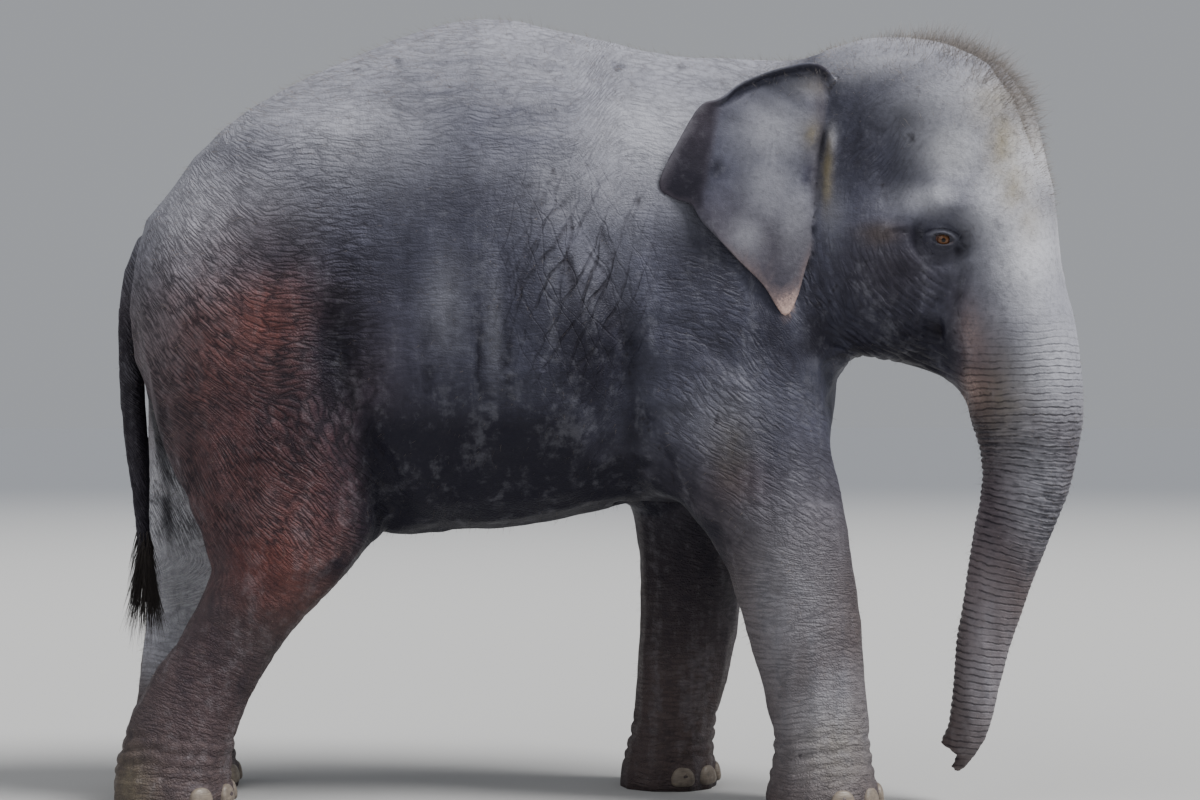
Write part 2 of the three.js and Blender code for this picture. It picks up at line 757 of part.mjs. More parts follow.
const HEAD_CELL = [ 56, 51, 57 ];
const TRUNK_CELL = [ 46, 46, 68 ];
const EYE_SET_BACK = 5; // how far the eyeball stands behind the skin
const LID_FLARE = 8; // the opening in front of the eyeball is this much wider than it
const LID_DEPTH = 60;
const EYE_AXIS = [ 0.27, 0.96, - 0.04 ];
const TRUNK_CUTS = [
	{ at: [ 504, 0, 975 ], along: [ - 0.06, 0, 1 ] },
	{ at: [ 480, 0, 735 ], along: [ 0.26, 0, 1 ] },
	{ at: [ 414, 0, 510 ], along: [ 0.27, 0, 1 ] },
	{ at: [ 366, 0, 310 ], along: [ 0.2, 0, 1 ] }
];
const mouthFront = { at: [ 368, 0, 1075 ], along: [ 0.966, 0, 0.259 ] };

/** Where a straight line from a point inside the flesh comes out of it. */
function surfaceFrom( field, start, direction ) {

	const p = new THREE.Vector3( ...start );
	const way = new THREE.Vector3( ...direction ).normalize();
	for ( let i = 0; i < 400 && field( p.x, p.y, p.z ) < 0; i ++ ) p.add( way );
	return p;

}

// in the head's frame the neck cut turns back half as far as the head does
const behind = [ - Math.cos( HEAD_YAW / 2 ), - Math.sin( HEAD_YAW / 2 ), 0 ];
const HEAD_BACK = NECK_CUT_X - 100;
const HEAD_HALF_WIDTH = 330;
const rootCut = [ TRUNK_CUTS[ 0 ].at, away( TRUNK_CUTS[ 0 ].along ) ];
const jawRoom = beyond( [ 0, 0, JAW_CUT_Z ], downwards )
	.intersect( beyond( mouthFront.at, away( mouthFront.along ) ) );
const chestRoom = beyond( [ THROAT_CUT_X, 0, 0 ], behind )
	.intersect( beyond( [ 0, 0, THROAT_CUT_Z ], downwards ) );
let head = largest( block(
	headWithNeck, [ HEAD_BACK, - HEAD_HALF_WIDTH, 880 ], [ 680, HEAD_HALF_WIDTH, 1960 ], HEAD_CELL, [
		[ [ NECK_CUT_X, 0, 0 ], behind ],
		rootCut
	]
).subtract( jawRoom ) );
addPart( 'jaw', largest( block(
	headWithNeck, [ HEAD_BACK, - HEAD_HALF_WIDTH, 900 ], [ 560, HEAD_HALF_WIDTH, JAW_CUT_Z + 90 ], HEAD_CELL, [
		[ [ NECK_CUT_X, 0, 0 ], behind ],
		[ [ 0, 0, JAW_CUT_Z ], upwards ],
		[ mouthFront.at, mouthFront.along ],
		rootCut
	]
).subtract( chestRoom ) ), COLOURS.skin, 0.85, headGroup );

TRUNK_CUTS.forEach( ( cut, n ) => {

	const next = TRUNK_CUTS[ n + 1 ];
	const low = next ? next.at : [ 280, 0, 110 ];
	const planes = [ [ cut.at, cut.along ] ];
	if ( next ) planes.push( [ next.at, away( next.along ) ] );
	addPart( `trunk_${ n + 1 }`, block(
		headFlesh, [ low[ 0 ] - 240, - 160, low[ 2 ] - 100 ], [ cut.at[ 0 ] + 220, 160, cut.at[ 2 ] + 120 ],
		TRUNK_CELL, planes
	), COLOURS.trunk, 0.85, headGroup );

} );

for ( const [ name, side ] of [ [ 'right', - 1 ], [ 'left', 1 ] ] ) {

	const axis = new THREE.Vector3( EYE_AXIS[ 0 ], EYE_AXIS[ 1 ] * side, EYE_AXIS[ 2 ] ).normalize();
	const skinPoint = surfaceFrom( headFlesh, [ EYE_FORWARD - 40, side * 80, EYE_HEIGHT ], axis.toArray() );
	const centre = skinPoint.clone().addScaledVector( axis, - EYE_RADIUS - EYE_SET_BACK );
	const ball = ( grown ) => bare( new THREE.SphereGeometry( EYE_RADIUS + grown, 12, 8 )
		.translate( ...centre.toArray() ) );
	const opening = new THREE.CylinderGeometry( EYE_RADIUS + LID_FLARE, EYE_RADIUS * 0.92, LID_DEPTH, 12 )
		.applyQuaternion( new THREE.Quaternion().setFromUnitVectors( new THREE.Vector3( 0, 1, 0 ), axis ) )
		.translate( ...centre.clone().addScaledVector( axis, LID_DEPTH * 0.6 ).toArray() );
	head = head.subtract( solidOf( ball( FIT_GAP ) ) ).subtract( solidOf( bare( opening ) ) );
	addPart( `eye_${ name }`, ball( 0 ), COLOURS.eye, 0.15, headGroup );

}

addPart( 'head', head, COLOURS.skin, 0.85, headGroup );

// ---------------------------------------------------------------- ears

const EAR_HINGE = [ 64, 250, 1556 ]; // forward, outward, up: where the ear canal opens
const EAR_MIDDLE = [ 118, - 22 ];
const EAR_CREASE_TOP = [ 234, 150 ];
const EAR_CREASE_FOOT = [ 280, - 78 ];
const EAR_FLAP_TURN = 0.6; // how far the rear flap folds in for each length behind the crease
const EAR_THICKNESS = { root: 17, rim: 5.5 };
// round the rim from the front of its top, back, down to the lobe and up to the canal:
// each is a distance behind the canal and a height above it
const EAR_RIM = [
	[ - 84, 150 ], [ - 64, 212 ], [ 6, 243 ], [ 98, 227 ], [ 188, 192 ], [ 240, 154 ],
	[ 280, 137 ], [ 324, 64 ], [ 372, - 44 ], [ 346, - 82 ], [ 308, - 100 ], [ 282, - 148 ],
	[ 202, - 222 ], [ 130, - 290 ], [ 74, - 362 ], [ 42, - 320 ], [ 20, - 246 ], [ - 14, - 150 ],
	[ - 40, - 60 ], [ - 62, 50 ]
];

/** How far the ear stands out from its plane: root, cup, flap, rolled top rim and lobe. */
function earStandOff( back_, up ) {

	const creaseAt = THREE.MathUtils.mapLinear( up, EAR_CREASE_TOP[ 1 ], EAR_CREASE_FOOT[ 1 ],
		EAR_CREASE_TOP[ 0 ], EAR_CREASE_FOOT[ 0 ] );
	const past = back_ - creaseAt;
	const flap = - EAR_FLAP_TURN * ( past + Math.hypot( past, 22 ) ) / 2;
	const cup = - 12 * Math.sin( Math.PI * clamp( ( back_ + 40 ) / 300, 0, 1 ) );
	const rim = 20 * THREE.MathUtils.smoothstep( up, 170, 245 );
	const root = - 46 * THREE.MathUtils.smoothstep( - back_, - 30, 80 );
	return flap + cup + rim + root;

}

/** The ear blade: a flattened ball stretched to the rim and bent out of its plane. */
function earBlade( side, flare ) {

	const rim = new THREE.CatmullRomCurve3(
		EAR_RIM.map( ( [ back_, up ] ) => new THREE.Vector3( back_, up, 0 ) ), true, 'centripetal'
	);
	const blade = new THREE.SphereGeometry( 1, 36, 6 );
	const at = blade.getAttribute( 'position' );
	const edge = new THREE.Vector3();
	for ( let n = 0; n < at.count; n ++ ) {

		// the ball's poles face through the blade, so its equator becomes the rim
		const height = at.getY( n );
		const reach = Math.sqrt( Math.max( 1 - height * height, 0 ) );
		const round = ( Math.atan2( at.getZ( n ), at.getX( n ) ) / ( 2 * Math.PI ) + 1 ) % 1;
		rim.getPointAt( round, edge );
		const spread = reach ** 0.9;
		const back_ = THREE.MathUtils.lerp( EAR_MIDDLE[ 0 ], edge.x, spread );
		const up = THREE.MathUtils.lerp( EAR_MIDDLE[ 1 ], edge.y, spread );
		const nearRoot = THREE.MathUtils.smoothstep( - back_, - 130, 60 );
		const thick = THREE.MathUtils.lerp( EAR_THICKNESS.rim, EAR_THICKNESS.root, nearRoot );
		const through = Math.sign( height ) * thick * Math.sqrt( Math.abs( height ) );
		at.setXYZ( n, - back_, side * ( earStandOff( back_, up ) + through ), up );

	}

	if ( side < 0 ) blade.index.array.reverse(); // a mirrored blade keeps its faces outwards
	blade.rotateZ( - side * flare );
	return blade.translate( EAR_HINGE[ 0 ], side * EAR_HINGE[ 1 ], EAR_HINGE[ 2 ] );

}

const ears = [
	{ name: 'right', side: - 1, flare: 0.72 }, // radians that the blade stands off the neck
	{ name: 'left', side: 1, flare: 0.45 }
];
for ( const { name, side, flare } of ears ) {

	const blade = solidOf( bare( earBlade( side, flare ) ) );
	const clear = largest( blade.subtract( head ) ).translate( [ 0, side * CUT_GAP, 0 ] );
	addPart( `ear_${ name }`, clear, COLOURS.ear, 0.8, headGroup );

}

// the origin is on the ground, under the middle of the whole animal
const whole = new THREE.Box3().setFromObject( elephant, true );
elephant.position.set( - ( whole.min.x + whole.max.x ) / 2, - ( whole.min.y + whole.max.y ) / 2, 0 );

export default elephant;
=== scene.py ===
"""A young Asian elephant at life size: one skin with its folds, eyes, toenails and hair."""

import enum
import logging
import math
from dataclasses import dataclass, field

import bmesh
import bpy
import numpy as np
from mathutils import Matrix, Vector


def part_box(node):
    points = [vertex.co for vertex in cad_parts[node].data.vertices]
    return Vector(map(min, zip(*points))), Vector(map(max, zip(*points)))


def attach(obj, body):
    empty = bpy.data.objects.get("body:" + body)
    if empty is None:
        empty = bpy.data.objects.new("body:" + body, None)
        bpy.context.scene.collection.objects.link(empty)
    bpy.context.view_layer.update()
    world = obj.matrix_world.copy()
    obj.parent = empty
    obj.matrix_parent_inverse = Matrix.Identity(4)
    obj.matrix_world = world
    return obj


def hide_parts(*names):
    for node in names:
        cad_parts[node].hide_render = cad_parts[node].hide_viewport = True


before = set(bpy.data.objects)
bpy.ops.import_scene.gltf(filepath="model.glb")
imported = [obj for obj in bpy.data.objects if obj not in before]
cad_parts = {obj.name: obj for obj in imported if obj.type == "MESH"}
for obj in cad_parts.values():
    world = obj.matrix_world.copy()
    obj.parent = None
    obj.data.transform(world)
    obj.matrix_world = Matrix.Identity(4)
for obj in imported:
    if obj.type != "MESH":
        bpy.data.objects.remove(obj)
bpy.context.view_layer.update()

Array = np.ndarray
Triple = tuple[float, float, float]
Piece = bpy.types.Object
Mesh = bpy.types.Mesh
Socket = bpy.types.NodeSocket

log = logging.getLogger("elephant")
RING_GAP = 0.0165  # metres from ring to ring along the trunk


class Side(enum.Enum):
    """One side of the animal, with the sign of its outward Y."""

    RIGHT = -1
    LEFT = 1

    @property
    def word(self) -> str:
        """The side's name as the nodes spell it."""
        return self.name.lower()


# ---- places on the animal


@dataclass(frozen=True)
class Stance:
    """Where the body and the turned head stand in the frame, in metres."""

    pivot: float = 0.56
    yaw: float = math.radians(24)
    eyes_forward: float = 0.366
    median: tuple[float, float] = field(init=False)

    def __post_init__(self) -> None:
        """Finds the body's median from the eyes, which lie either side of the head's own."""
        corners = [Vector(corner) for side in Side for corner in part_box(f"eye_{side.word}")]
        middle = sum(corners, Vector()) / 4
        x = middle.x - self.pivot - math.cos(self.yaw) * self.eyes_forward
        y = middle.y + math.sin(self.yaw) * self.eyes_forward
        object.__setattr__(self, "median", (x, y))

    def body(self, at: Array) -> Array:
        """Points of the frame, measured from the body's median plane under its middle."""
        return at - np.array([*self.median, 0.0])

    def head(self, at: Array) -> Array:
        """Points measured in the head's own frame, which looks along its X.

        Args:
            at: points in the frame, one per row.

        Returns:
            The points turned back by the head's yaw about the neck's pivot.
        """
        own = self.body(at) - np.array([self.pivot, 0.0, 0.0])
        c, s = math.cos(self.yaw), math.sin(self.yaw)
        x, y, z = own.T
        return np.stack([c * x - s * y, s * x + c * y, z], axis=1)

    def turned(self, way: Array) -> Array:
        """Directions of the head's frame, turned into the frame.

        Args:
            way: directions or offsets, one per row.

        Returns:
            The same directions in the frame.
        """
        c, s = math.cos(self.yaw), math.sin(self.yaw)
        x, y, z = way.T
        return np.stack([c * x + s * y, -s * x + c * y, z], axis=1)

    @property
    def ahead(self) -> Array:
        """The way the head looks."""
        return self.turned(np.array([[1.0, 0.0, 0.0]]))[0]

    def out_of_head(self, at: Array) -> Array:
        """Points of the head's frame, placed in the frame."""
        return self.turned(at) + np.array([self.median[0] + self.pivot, self.median[1], 0.0])


STANCE = Stance()


def head_share(own: Array) -> Array:
    """How much a place belongs to the head.

    Args:
        own: points in the head's frame.

    Returns:
        The share of each point.
    """
    x, _, z = own.T
    throat = 0.6 * np.clip(1.24 - z, 0.0, 0.4)
    return ramp(x - throat, -0.1, 0.04) * ramp(z, 0.92, 1.02)


def ramp(value: Array, low: float, high: float) -> Array:
    """A smooth step from 0 at low to 1 at high; it falls where low is above high."""
    t = np.clip((value - low) / (high - low), 0.0, 1.0)
    return t * t * (3.0 - 2.0 * t)


def hump(value: Array, width: float) -> Array:
    """A round hump of height 1 over a measure's zero, which fades at its width."""
    return np.exp(-((value / width) ** 2))


def swell(at: Array, centre: tuple[float, ...], reach: tuple[float, ...]) -> Array:
    """A round hump of height 1 round a centre, which fades with its reach on each axis."""
    return np.exp(-(((at - np.array(centre)) / np.array(reach)) ** 2).sum(axis=1))


def humps(where: Array, places: tuple[tuple[float, ...], ...]) -> Array:
    """Several humps over points, each given by its centre, its reach and its height; a row for each."""
    size = where.shape[1]
    return np.stack([place[-1] * swell(where, place[:size], place[size:-1]) for place in places])


def paired(at: Array) -> Array:
    """Points brought to the left of the median, so that a form falls on both sides."""
    return np.column_stack([at[:, 0], np.abs(at[:, 1]), at[:, 2]])


def wander(at: Array, size: float, seed: int) -> Array:
    """Smooth random values, the same on every run.

    Args:
        at: points, one per row.
        size: the width of one blob.
        seed: which set of values.

    Returns:
        A value between -1 and 1 at each point.
    """
    cells = at / size
    base = np.floor(cells)
    t = cells - base
    t = t * t * (3.0 - 2.0 * t)
    base = base.astype(np.int64)
    total = np.zeros(len(at))
    for corner in range(8):
        step = np.array([corner & 1, corner >> 1 & 1, corner >> 2 & 1])
        x, y, z = (base + step).T
        code = (x * 73856093) ^ (y * 19349663) ^ (z * 83492791) ^ (seed * 2654435761)
        code = (code ^ (code >> 13)) * 1274126177 & 0x7FFFFFFF
        code = (code ^ (code >> 15)) * 40503 & 0x7FFFFFFF
        share = np.where(step, t, 1.0 - t).prod(axis=1)
        total += share * ((code >> 8 & 0xFFFF) / 32767.5 - 1.0)
    return total


def furrow(phase: Array, sharp: float = 2.5) -> Array:
    """Narrow grooves, 1 deep, between round ridges: one for each whole phase."""
    return (1.0 - np.abs(np.sin(math.pi * phase))) ** sharp


def smooth_path(stops: list[tuple[float, ...]], steps: int = 12) -> Array:
    """Points along a smooth line through a few stops.

    Args:
        stops: the points it goes through.
        steps: how many points to each stretch.

    Returns:
        The points, one per row.
    """
    knots = np.array(stops, dtype=float)
    ends = np.vstack([2 * knots[0] - knots[1], knots, 2 * knots[-1] - knots[-2]])
    found = []
    for n in range(1, len(ends) - 2):
        before, start, end, after = ends[n - 1 : n + 3]
        for t in np.arange(steps) / steps:
            found.append(
                0.5
                * (
                    2 * start
                    + (end - before) * t
                    + (2 * before - 5 * start + 4 * end - after) * t**2
                    + (3 * start - before - 3 * end + after) * t**3
                )
            )
    found.append(knots[-1])
    return np.array(found)


def reach_to(at: Array, path: Array) -> Array:
    """How far each point is from a line of short straight stretches.

    Args:
        at: points, one per row.
        path: the line's points, in as many dimensions.

    Returns:
        The shortest distance for each point.
    """
    best = np.full(len(at), np.inf)
    near = ((at >= path.min(axis=0) - 0.12) & (at <= path.max(axis=0) + 0.12)).all(axis=1)
    part = at[near]
    least = np.full(len(part), np.inf)
    for start, end in zip(path[:-1], path[1:]):
        run = end - start
        t = np.clip(((part - start) @ run) / max(float(run @ run), 1e-12), 0.0, 1.0)
        least = np.minimum(least, np.linalg.norm(part - start - t[:, None] * run, axis=1))
    best[near] = least
    return best


# ---- meshes as arrays


def read_out(items: object, name: str, width: int, kind: type = np.int32) -> Array:
    """The numbers that a collection's items hold under a name.

    Args:
        items: the collection.
        name: the property.
        width: how many numbers an item holds.
        kind: their type.

    Returns:
        One row for each item.
    """
    flat = np.empty(len(items) * width, dtype=kind)
    items.foreach_get(name, flat)
    return flat.reshape(-1, width)


def points_of(mesh: Mesh) -> Array:
    """The mesh's vertex places, one per row."""
    return read_out(mesh.vertices, "co", 3, np.float32).astype(float)


def normals_of(mesh: Mesh) -> Array:
    """The mesh's vertex normals, one per row."""
    return read_out(mesh.vertex_normals, "vector", 3, np.float32).astype(float)


def edges_of(mesh: Mesh) -> Array:
    """The mesh's edges as pairs of vertex numbers."""
    return read_out(mesh.edges, "vertices", 2)


def place(mesh: Mesh, at: Array) -> None:
    """Moves the mesh's vertices to the given places."""
    mesh.vertices.foreach_set("co", at.astype(np.float32).ravel())
    mesh.update()


def means(values: Array, edges: Array) -> Array:
    """The mean of each vertex's neighbours.

    Args:
        values: one row per vertex.
        edges: pairs of vertex numbers.

    Returns:
        The mean value round each vertex.
    """
    a, b = edges.T
    count = len(values)
    number = np.bincount(a, minlength=count) + np.bincount(b, minlength=count)
    sums = [
        np.bincount(a, weights=column[b], minlength=count)
        + np.bincount(b, weights=column[a], minlength=count)
        for column in values.T
    ]
    return np.stack(sums, axis=1) / np.maximum(number, 1)[:, None]


def relax(mesh: Mesh, rounds: int, share: Array | float = 1.0, hold: bool = True) -> None:
    """Evens a mesh out without shrinking it.

    Args:
        mesh: the mesh to change.
        rounds: how many times each point moves towards its neighbours and back out.
        share: how much of the move each vertex takes.
        hold: whether each inward pass is followed by an outward one.
    """
    at, edges = points_of(mesh), edges_of(mesh)
    weight = share[:, None] if isinstance(share, Array) else share
    for _ in range(rounds):
        at += 0.5 * weight * (means(at, edges) - at)
        if hold:
            at -= 0.52 * weight * (means(at, edges) - at)
    place(mesh, at)


def linked(name: str, data: bpy.types.ID) -> Piece:
    """An object of a mesh, a camera or a light, put in the scene."""
    piece = bpy.data.objects.new(name, data)
    bpy.context.scene.collection.objects.link(piece)
    return piece


def settled(piece: Piece, name: str) -> Piece:
    """A new object that holds a piece's mesh with its modifiers applied; the old one goes.

    Args:
        piece: the object with modifiers.
        name: the new object's name.

    Returns:
        The new object.
    """
    depsgraph = bpy.context.evaluated_depsgraph_get()
    mesh = bpy.data.meshes.new_from_object(piece.evaluated_get(depsgraph), depsgraph=depsgraph)
    bpy.data.objects.remove(piece)
    mesh.name = name
    return linked(name, mesh)


def object_from(bm: bmesh.types.BMesh, name: str) -> Piece:
    """Turns a bmesh into a linked, smooth-shaded object and frees it.

    Args:
        bm: the mesh made so far.
        name: the object's name.

    Returns:
        The object.
    """
    for face in bm.faces:
        face.smooth = True
    mesh = bpy.data.meshes.new(name)
    bm.to_mesh(mesh)
    bm.free()
    return linked(name, mesh)


def keep_floats(mesh: Mesh, name: str, values: Array) -> None:
    """Stores one number, or four, for each vertex under a name that a finish reads.

    Args:
        mesh: the mesh.
        name: the attribute's name.
        values: one row per vertex.
    """
    several = values.ndim == 2
    layer = mesh.attributes.new(name, "FLOAT_COLOR" if several else "FLOAT", "POINT")
    layer.data.foreach_set("color" if several else "value", values.astype(np.float32).ravel())


# ---- finishes


class Sheet:
    """A material's nodes while they are laid out."""

    def __init__(self, name: str) -> None:
        """Starts an empty material with one surface shader."""
        self.material = bpy.data.materials.new(name)
        self.material.use_nodes = True
        self.tree = self.material.node_tree
        self.tree.nodes.clear()
        self.surface = self.add("BsdfPrincipled")
        output = self.add("OutputMaterial")
        self.join(self.surface.outputs["BSDF"], output.inputs["Surface"])
        self.place = self.add("TexCoord").outputs["Object"]

    def add(self, kind: str, **inputs: object) -> bpy.types.Node:
        """Adds a node.

        Args:
            kind: its name after Blender's ShaderNode.
            inputs: what its sockets are linked or set to, by name.

        Returns:
            The node.
        """
        node = self.tree.nodes.new(f"ShaderNode{kind}")
        for name, source in inputs.items():
            self.join(source, node.inputs[name])
        return node

    def join(self, source: object, target: Socket) -> None:
        """Links a socket to another, or sets the other to a plain value."""
        if isinstance(source, Socket):
            self.tree.links.new(source, target)
        else:
            target.default_value = source

    def sum(self, kind: str, *values: object) -> Socket:
        """One sum of numbers.

        Args:
            kind: the Math node's operation.
            values: sockets or numbers.

        Returns:
            The result's socket.
        """
        node = self.add("Math")
        node.operation = kind
        for n, value in enumerate(values):
            self.join(value, node.inputs[n])
        return node.outputs[0]

    def total(self, *values: object) -> Socket:
        """All the given numbers added up."""
        result = values[0]
        for value in values[1:]:
            result = self.sum("ADD", result, value)
        return result

    def times(self, *values: object) -> Socket:
        """All the given numbers multiplied."""
        result = values[0]
        for value in values[1:]:
            result = self.sum("MULTIPLY", result, value)
        return result

    def near(self, distance: object, reach: float) -> Socket:
        """1 where a distance is nothing, falling smoothly to 0 at its reach."""
        return self.step(distance, 0.0, reach, 1.0, 0.0)

    def step(
        self, value: object, low: float, high: float, bottom: float = 0.0, top: float = 1.0
    ) -> Socket:
        """A smooth step of a number, from bottom at low to top at high.

        Args:
            value: socket that is measured.
            low: where the step starts.
            high: where it ends.
            bottom: its height before the step.
            top: its height after it.

        Returns:
            The result's socket.
        """
        node = self.add("MapRange")
        node.interpolation_type = "SMOOTHSTEP"
        names = ("Value", "From Min", "From Max", "To Min", "To Max")
        for name, setting in zip(names, (value, low, high, bottom, top)):
            self.join(setting, node.inputs[name])
        return node.outputs["Result"]

    def mixed(self, share: object, first: object, second: object) -> Socket:
        """A mix of two colours.

        Args:
            share: how much of the second shows.
            first: socket or colour.
            second: socket or colour.

        Returns:
            The colour's socket.
        """
        node = self.add("Mix")
        node.data_type = "RGBA"
        self.join(share, node.inputs[0])
        for colour, slot in ((first, node.inputs[6]), (second, node.inputs[7])):
            self.join(colour if isinstance(colour, Socket) else (*colour, 1.0), slot)
        return node.outputs[2]

    def stretched(self, scale: Triple) -> Socket:
        """The piece's own coordinates, scaled."""
        return self.add("Mapping", Vector=self.place, Scale=scale).outputs["Vector"]

    def noise(
        self, scale: float, detail: float = 2.0, where: Socket | None = None, rough: float = 0.5
    ) -> Socket:
        """Cloudy noise between 0 and 1.

        Args:
            scale: blobs to a metre.
            detail: how many finer layers.
            where: coordinates, the piece's own if not given.
            rough: how strong the finer layers are.

        Returns:
            The noise's socket.
        """
        where = where or self.place
        node = self.add("TexNoise", Vector=where, Scale=scale, Detail=detail, Roughness=rough)
        return node.outputs["Fac"]

    def cracks(self, scale: float, where: object, warp: float) -> Socket:
        """Distance to the lines of a cracked pattern, in cell widths.

        Args:
            scale: cells to a metre.
            where: coordinates.
            warp: how far noise pushes the lines about, in metres.

        Returns:
            The distance's socket.
        """
        push = self.add("TexNoise", Vector=where, Scale=scale * 0.6, Detail=1.0)
        shift = self.add("VectorMath")
        shift.operation = "MULTIPLY_ADD"
        self.join(push.outputs["Color"], shift.inputs[0])
        shift.inputs[1].default_value = (warp, warp, warp)
        self.join(where, shift.inputs[2])
        return self.cell_walls(shift.outputs[0], scale)

    def cell_walls(self, where: Socket, scale: float) -> Socket:
        """Distance to the walls between random cells, in cell widths.

        Args:
            where: coordinates.
            scale: cells to a metre.

        Returns:
            The distance's socket.
        """
        node = self.add("TexVoronoi", Vector=where, Scale=scale)
        node.feature = "DISTANCE_TO_EDGE"
        return node.outputs["Distance"]

    def creases(self, way: str, gap: float, length: float, warp: float) -> Socket:
        """Distance to cracks that run along the lines of a coordinate kept on the mesh.

        Args:
            way: the attribute that counts metres across the lines.
            gap: metres from line to line.
            length: how many gaps long an unbroken line is.
            warp: how far noise pushes the lines about, in gaps.

        Returns:
            The distance's socket, in gaps.
        """
        x, y, z = self.axes()
        joined = self.add("CombineXYZ")
        slow = 1.0 / (gap * length)
        self.join(self.times(self.sum("MULTIPLY_ADD", y, 0.6, x), slow), joined.inputs[0])
        self.join(self.times(self.sum("MULTIPLY_ADD", y, 0.4, z), slow), joined.inputs[1])
        push = self.times(self.noise(0.45 / gap, 2.0), warp)
        self.join(self.sum("MULTIPLY_ADD", self.kept(way), 1.0 / gap, push), joined.inputs[2])
        return self.cell_walls(joined.outputs[0], 1.0)

    def axes(self) -> list[Socket]:
        """The piece's own X, Y and Z."""
        node = self.add("SeparateXYZ")
        self.join(self.place, node.inputs[0])
        return list(node.outputs)

    def reader(self, name: str) -> bpy.types.Node:
        """The node that reads an attribute kept on the mesh."""
        node = self.add("Attribute")
        node.attribute_name = name
        return node

    def kept(self, name: str) -> Socket:
        """The number of an attribute kept on the mesh."""
        return self.reader(name).outputs["Fac"]

    def four(self, name: str) -> list[Socket]:
        """The four numbers of an attribute kept on the mesh."""
        node = self.reader(name)
        parts = self.add("SeparateColor")
        self.join(node.outputs["Color"], parts.inputs[0])
        return [*parts.outputs, node.outputs["Alpha"]]

    def bump(self, height: object, depth: float) -> None:
        """Gives the surface a bump.

        Args:
            height: socket, in units of depth.
            depth: metres for a height of 1.
        """
        node = self.add("Bump", Distance=depth, Height=height)
        self.join(node.outputs["Normal"], self.surface.inputs["Normal"])

    def finish(self, colour: Socket, rough: Socket) -> bpy.types.Material:
        """Gives the surface its colour and roughness, and returns the material."""
        self.join(colour, self.surface.inputs["Base Color"])
        self.join(rough, self.surface.inputs["Roughness"])
        return self.material

    def constants(self, **settings: float) -> None:
        """Sets numbers on the shader's own sockets, by name with underscores."""
        for name, value in settings.items():
            self.surface.inputs[name.replace("_", " ")].default_value = value


